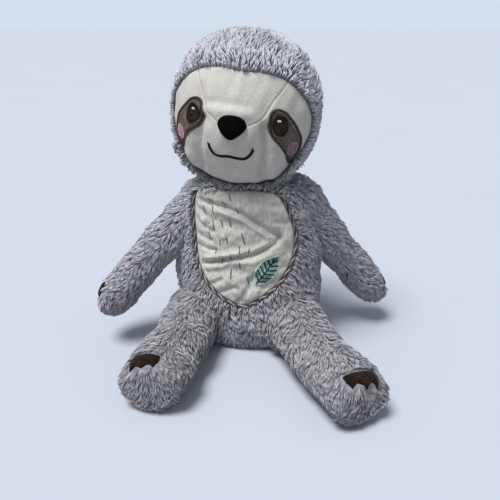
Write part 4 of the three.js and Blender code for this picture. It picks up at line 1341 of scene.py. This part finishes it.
def cover(name, node, form, outline, room, every=COVER_EVERY, change=None):
    """The woven backing of the fur, which lies lower under a panel."""
    offset = -BACKING_DROP + sunk(form, outline, **room)
    vertices, faces = form.closed(offset, every, change)
    piece = new_piece(name, vertices, faces, BACKING, form.body, matrix=form.matrix)
    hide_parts(node)


def filling(name, node, form, change, depth=FILLING_DEPTH, cloth="filling_fibre"):
    lumps = lumps_on(form.points.reshape(-1, 3), FILLING_LUMPS).reshape(form.points.shape[:2])
    vertices, faces = form.closed(lumps - depth, FILLING_EVERY, change)
    piece = new_piece(name, vertices, faces, cloths[cloth], form.body, matrix=form.matrix)
    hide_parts(node)


def over_pouch(p):
    return np.column_stack([p[:, :2], np.maximum(p[:, 2], POUCH_HEIGHT + POUCH_GAP)])


def in_pouch(p):
    return np.column_stack([p[:, :2], np.minimum(p[:, 2], POUCH_HEIGHT - POUCH_GAP)])


cover("body_backing", "body_cover", torso, panel_outline, PANEL_ROOM)
filling("body_fibre", "body_stuffing", torso, over_pouch)
filling("seat_pouch", "seat_bean_pouch", torso, in_pouch, cloth="pouch_cloth")
above_neck = {part: kept_above(head, level) for part, level in HEAD_FLOORS.items()}
cover("head_backing", "head_cover", head, face_outline, FACE_ROOM, change=above_neck["backing"])
filling("head_fibre", "head_stuffing", head, above_neck["fibre"], depth=HEAD_FILLING_DEPTH)

# The fur's places and ways


def front_of(outline, margin):
    """Tells which places aren't inside an outline on the front of a form."""
    edge = grown(outline, margin)

    def keep(points):
        return ~((points[:, 1] < 0) & inside(points[:, [0, 2]], edge))

    return keep


def swirled(kind, places, outs, ways):
    """Ways along the cloth that swirl a little."""
    swirl = SWIRLS[kind]
    degrees = swirl["share"] * (SWIRL_ANGLE * waves(places, swirl["size"], swirl["seed"]))
    return turned(tangent(ways, outs), outs, degrees)


def head_flow(places, outs):
    ways = places - HEAD_FLOW["source"]
    ways[:, 1] = np.where(places[:, 1] < 0, HEAD_FLOW["front"], HEAD_FLOW["back"])
    ways = ways + HEAD_FLOW["fall"] * np.clip(places[:, 1:2] / HEAD_FLOW["fall_over"], 0, 1)
    return swirled("head", places, outs, ways)


def flow_of(kind):
    """How the fur of the torso or of a limb is brushed."""
    def flow(places, outs):
        return swirled(kind, places, outs, places * FLOW_SPREADS[kind] + FLOW_WAYS[kind])

    return flow


def split(name, form, keep, flow, density, **more):
    """Fur all over a form, in a piece for the front and one for the back."""
    for part, side, share in (("front", -1, 1), ("back", 1, BACK_SHARE)):
        def half(p):
            return keep(p) & (p[:, 1] * side >= 0)

        fur_piece(f"{name}_{part}", form, half, flow, share * density, **more)


head_keep = front_of(face_outline, FUR_MARGINS["face"])
torso_keep = front_of(panel_outline, FUR_MARGINS["belly"])


def head_clear(p):
    return head_keep(p) & (head.world(p)[:, 2] > HEAD_FUR_LOW)


def torso_clear(p):
    good = torso_keep(p) & (p[:, 2] > TORSO_FUR_LOW) & (p[:, 2] < TORSO_FUR_HIGH)
    world = torso.world(p)
    for tree in limb_trees:
        good &= depth_in(tree, world) < TORSO_REACH
    return good


def neck_clear(p):
    x, y, z = p.T
    out = np.hypot(x, NECK_FUR["depth_share"] * y) > NECK_FUR["inner_radius"]
    behind = torso_keep(p) | (y > NECK_FUR["front"])
    return (z >= NECK_FUR["start"]) & out & behind & (np.abs(x) < NECK_FUR["half_width"])


def neck_flow(places, outs):
    return tangent(places * (1, 1, 0), outs)


def chin_fur(below_share, repeats, scatter, depth, way, floor):
    """Strands under the chin that hang over the top of the belly."""
    low_edge = face_outline[face_outline[:, 1] < -below_share * FACE["bottom"]]
    rows = np.repeat(low_edge, repeats, axis=0)
    rows = rows * (1 + random.uniform(-scatter, scatter, (len(rows), 1)))
    places, outs = head.project(rows, depth)
    ways = tangent(np.broadcast_to(np.array(way), places.shape), outs)
    fur_on("chin_fur", head, places, outs, ways, floor=floor, **FUR_LOOKS["chin"])


split(
    "head_fur", head, head_clear, head_flow, edge=face_outline, floor=HEAD_FUR_FLOOR, **FUR_LOOKS["head"]
)
split(
    "torso_fur", torso, torso_clear, flow_of("torso"), edge=panel_outline, ceiling=TORSO_FUR_CEILING,
    **FUR_LOOKS["torso"],
)
# The fur on the torso's top stands up to meet the head
fur_piece("neck_fur", torso, neck_clear, neck_flow, **FUR_LOOKS["neck"])
chin_fur(**CHIN_FUR)

# Limbs


def limb_pieces(kind, name, side, form, limb):
    body = form.body
    outline = claw_outline(CLAWS[body], limb, side, CLAW_SHARES)
    bed = claw_outline(CLAWS[body], limb, side, CLAW_BED_SHARES)
    clear = front_of(bed, FUR_MARGINS["claws"])

    def limb_clear(p):
        world = form.world(p)
        return clear(p) & (depth_in(torso_tree, world) < LIMB_REACH) & (world[:, 2] > LIMB_FLOORS["roots"])

    def pad_height(flat):
        return PAD_RISE + cushioned(flat, outline, **CLAW_PADS[kind])

    cover(
        f"{body}_backing", f"{kind}_cover_{name}", form, outline, CLAW_ROOM, LIMB_COVER_EVERY,
        kept_above(form, LIMB_FLOORS["backing"]),
    )
    filling(f"{body}_fibre", f"{kind}_stuffing_{name}", form, kept_above(form, LIMB_FLOORS["fibre"]))
    fur_piece(f"{body}_fur", form, limb_clear, flow_of(kind), edge=bed, **LIMB_FUR, **FUR_LOOKS[kind])
    pad = panel_piece(f"{body}_claws", form, outline, pad_height, "claw_cloth", "claw_thread", **CLAW_SHEET)
    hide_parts(f"{'hand' if kind == 'arm' else 'foot'}_claws_{name}")


for side, name in SIDES:
    limb_pieces("arm", name, side, arms[name], ARM)
    limb_pieces("leg", name, side, legs[name], LEG)

# Face


def face_surface(flat):
    """The velour's height, drawn in at its edge and a little along the two seams."""
    height = face_height(flat) + rolled(flat, face_outline, **PANEL_ROLL)
    for side, _ in SIDES:
        height += rolled(flat, seam * (side, 1), closed=False, **SEAM_ROLL)
    return height


def nose_height(flat):
    return face_height(flat) + PAD_RISE + cushioned(flat, nose_outline, NOSE["thick"], NOSE["rounding"])


def seam_stitches(side):
    starts, ends = run_threads(seam * (side, 1), STITCHES["seam"]["length"])
    return stitches("seam", head, face_surface, starts, ends)


def mouth_line():
    tall = MOUTH["low_drop"] - MOUTH["corner_drop"]
    right = [(x * MOUTH["half_width"], -MOUTH["corner_drop"] - z * tall) for x, z in MOUTH_SHARES]
    return curve_through(mirrored(right), POINTS["mouth"])


def eye_pieces(side, name):
    """An eye patch, its border, its outline with the ring of the iris, iris, glint and blush."""
    edge = eye_outline(side)
    iris, glint, blush = (oval(side, **place) for place in (IRIS, GLINT, BLUSH))
    border, line, within = (grown(edge, -EYE_INSETS[part]) for part in ("border", "line", "threads"))
    ring = grown(iris, -EYE_INSETS["iris_ring"])
    pieces = (
        ("eye_threads", "patch_thread", "patch_thread", "eye_patch", [("patch", within, side)]),
        ("eye_border", "patch_thread", "patch_border_thread", None, [("border", border, None)]),
        ("eye_line", "dark_thread", "dark_thread", "eye_outline",
         [("line", line, None), ("iris_ring", ring, None)]),
        ("iris_threads", "iris_thread", "iris_thread", "iris", [("iris", iris, 1)]),
        ("glint_threads", "white_thread", "white_thread", "eye_glint", [("glint", glint, 1)]),
        ("blush_threads", "blush_thread", "blush_thread", "blush", [("blush", blush, side)]),
    )
    for piece, slot, thread, node, sewn in pieces:
        parts = [
            filled(kind, head, face_height, outline, way) if way
            else crossed(kind, head, face_height, outline, closed=True)
            for kind, outline, way in sewn
        ]
        thread_piece(f"{piece}_{name}", "head", thread, parts, node and f"{node}_{name}")


for name, node, outline in (
    ("cheek_velour", "face_panel", cheek_outline), ("forehead_velour", "forehead_panel", forehead_outline),
):
    piece = panel_piece(
        name, head, grown(outline, -FACE_GAP), face_surface, "face_velour", "face_velour", **VELOUR_SHEET
    )
    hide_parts(node)

thread_piece("seam_threads", "head", "seam_thread", [seam_stitches(side) for side, _ in SIDES])

pad = panel_piece("nose_velour", head, nose_outline, nose_height, "nose_velour", "nose_velour", **NOSE_SHEET)
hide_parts("nose_pad")

thread_piece(
    "mouth_stitches", "head", "dark_thread",
    [crossed("mouth", head, face_height, mouth_line())], "mouth_stitch",
)
for side, name in SIDES:
    eye_pieces(side, name)

# Belly

edge = grown(panel_outline, -BELLY_GAP)


def belly_surface(flat):
    return belly_height(flat) + rolled(flat, edge, **BELLY_ROLL)


def dash(x, z, x2, z2):
    """Two threads side by side, a little longer than the line that they sew."""
    start, end = np.array([x, z]), np.array([x2, z2])
    aside = unit(np.array([z - z2, x2 - x])) * DASH["half_gap"]
    longer = (end - start) * DASH["longer_share"]
    starts = np.array([start - longer + aside * r for r in (-1, 1)])
    ends = np.array([end + longer + aside * r for r in (-1, 1)])
    seed = int(abs(x * DASH["seeds"]))
    return stitches("dash", torso, belly_height, starts, ends, seed, DASH["points"])


belly = panel_piece(
    "belly_velour", torso, edge, belly_surface, "belly_velour", "belly_velour", **VELOUR_SHEET
)
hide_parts("belly_panel")
thread_piece("belly_dashes", "torso", "dash_thread", [dash(*line) for line in DASHES])

# Leaf


def leaf_place(across, along):
    return placed(LEAF["across"], LEAF["height"], across, along, LEAF["tilt"])


def vein(side, share):
    low = share * LEAF["length"]
    bow = 1 - abs(2 * (share + VEIN["middle_share"])) ** VEIN["power"]
    reach = LEAF["width"] / 2 * bow - VEIN["short"]
    rise = np.linspace(0, VEIN["rise_share"], VEIN["points"]) ** VEIN["bend"]
    line = leaf_place(np.linspace(0, side * reach, VEIN["points"]), low + rise * LEAF["length"])
    return crossed("vein", torso, belly_height, line)


leaf_along = np.linspace(-LEAF["length"] / 2, LEAF["length"] / 2, LEAF_POINTS)
leaf_share = 2 * leaf_along / LEAF["length"]
leaf_power = np.where(leaf_share < 0, LEAF_POWERS["low"], LEAF_POWERS["tip"])
leaf_half = LEAF["width"] / 2 * (1 - np.abs(leaf_share) ** leaf_power)
leaf_middle = leaf_place(0 * leaf_along, leaf_along)
leaf_right, leaf_left = (leaf_place(side * leaf_half, leaf_along) for side in (1, -1))
leaf_outline = np.vstack([leaf_right, leaf_left[-2:0:-1]])
rib = leaf_place(
    np.zeros(LEAF_RIB["points"]),
    np.linspace(LEAF_RIB["start_share"], LEAF_RIB["end_share"], LEAF_RIB["points"]) * LEAF["length"],
)
leaf_parts = [
    filled("leaf", torso, belly_height, np.vstack([half, leaf_middle[::-1]]), -side, 90 - LEAF["tilt"])
    for side, half in ((-1, leaf_left), (1, leaf_right))
]
veins = [vein(side, share) for side in (-1, 1) for share in VEIN_SHARES]
thread_piece(
    "leaf_border", "torso", "leaf_edge_thread",
    [crossed("leaf_edge", torso, belly_height, leaf_outline, closed=True)],
)
thread_piece("leaf_threads", "torso", "leaf_thread", leaf_parts, "leaf_patch")
thread_piece(
    "leaf_rib", "torso", "leaf_rib_thread", [crossed("rib", torso, belly_height, rib)]
)
thread_piece("leaf_veins", "torso", "leaf_vein_thread", veins)

# Piping

route = curve_through(np.vstack([panel_right[::-1], panel_left[1:]]), PIPING["steps"])
places, outs = torso.project(route, belly_height(route) + PIPING["rise"])
along = unit(np.gradient(places, axis=0))
across = unit(np.cross(outs, along))
length = lengths_along(places)
for index, (name, node) in enumerate((("piping_dark", "belly_piping"), ("piping_pale", None))):
    angle = (length / PIPING["pitch"] * 2 * math.pi + index * math.pi)[:, None]
    twisted = places + PIPING["offset"] * (np.cos(angle) * across + np.sin(angle) * outs)
    radii = np.full((1, len(twisted)), PIPING["radius"])
    cord = tubes(twisted[None], radii, across[None], PIPING["sides"], [PIPING["shade"]])
    thread_piece(name, "torso", name, [cord], node)

# Floor, light and camera

bpy.ops.mesh.primitive_plane_add(size=FLOOR_SIZE, location=(0, 0, 0))
floor = bpy.context.object
floor.name = "floor"
n = Nodes("floor_sheet", FLOOR_ROUGHNESS)
shown = n.ramp(n.noise(**FLOOR_MOTTLE), tones(FLOOR_TONES))
seen = n.add("LightPath").outputs["Is Camera Ray"]
floor.data.materials.append(n.coat(n.mix(seen, linear(*FLOOR_BOUNCE), shown)))

world = bpy.data.worlds.new("studio")
bpy.context.scene.world = world
world.use_nodes = True
tree = world.node_tree
tree.nodes.clear()
light, shown, mixed, output, path = (
    tree.nodes.new("ShaderNode" + kind)
    for kind in ("Background", "Background", "MixShader", "OutputWorld", "LightPath")
)
light.inputs["Color"].default_value = linear(*WORLD_COLOUR)
light.inputs["Strength"].default_value = WORLD_LIGHT
shown.inputs["Color"].default_value = linear(*BACKGROUND)
shown.inputs["Strength"].default_value = BACKGROUND_LIGHT
tree.links.new(path.outputs["Is Camera Ray"], mixed.inputs["Fac"])
tree.links.new(light.outputs[0], mixed.inputs[1])
tree.links.new(shown.outputs[0], mixed.inputs[2])
tree.links.new(mixed.outputs[0], output.inputs["Surface"])

data = bpy.data.lights.new("soft_sun", "SUN")
data.energy = SUN_STRENGTH
data.angle = math.radians(SUN_ANGLE)
sun = bpy.data.objects.new("soft_sun", data)
sun.location = SUN_PLACE
sun.rotation_euler = (-Vector(SUN_PLACE)).to_track_quat("-Z", "Y").to_euler()
bpy.context.scene.collection.objects.link(sun)

data = bpy.data.cameras.new("camera")
data.sensor_width = CAMERA_SENSOR
data.lens = CAMERA_LENS
camera = bpy.data.objects.new("camera", data)
camera.location = CAMERA_PLACE
camera.rotation_euler = [math.radians(a) for a in CAMERA_ANGLES]
bpy.context.scene.collection.objects.link(camera)
bpy.context.scene.camera = camera
bpy.context.scene.view_settings.view_transform = "Standard"
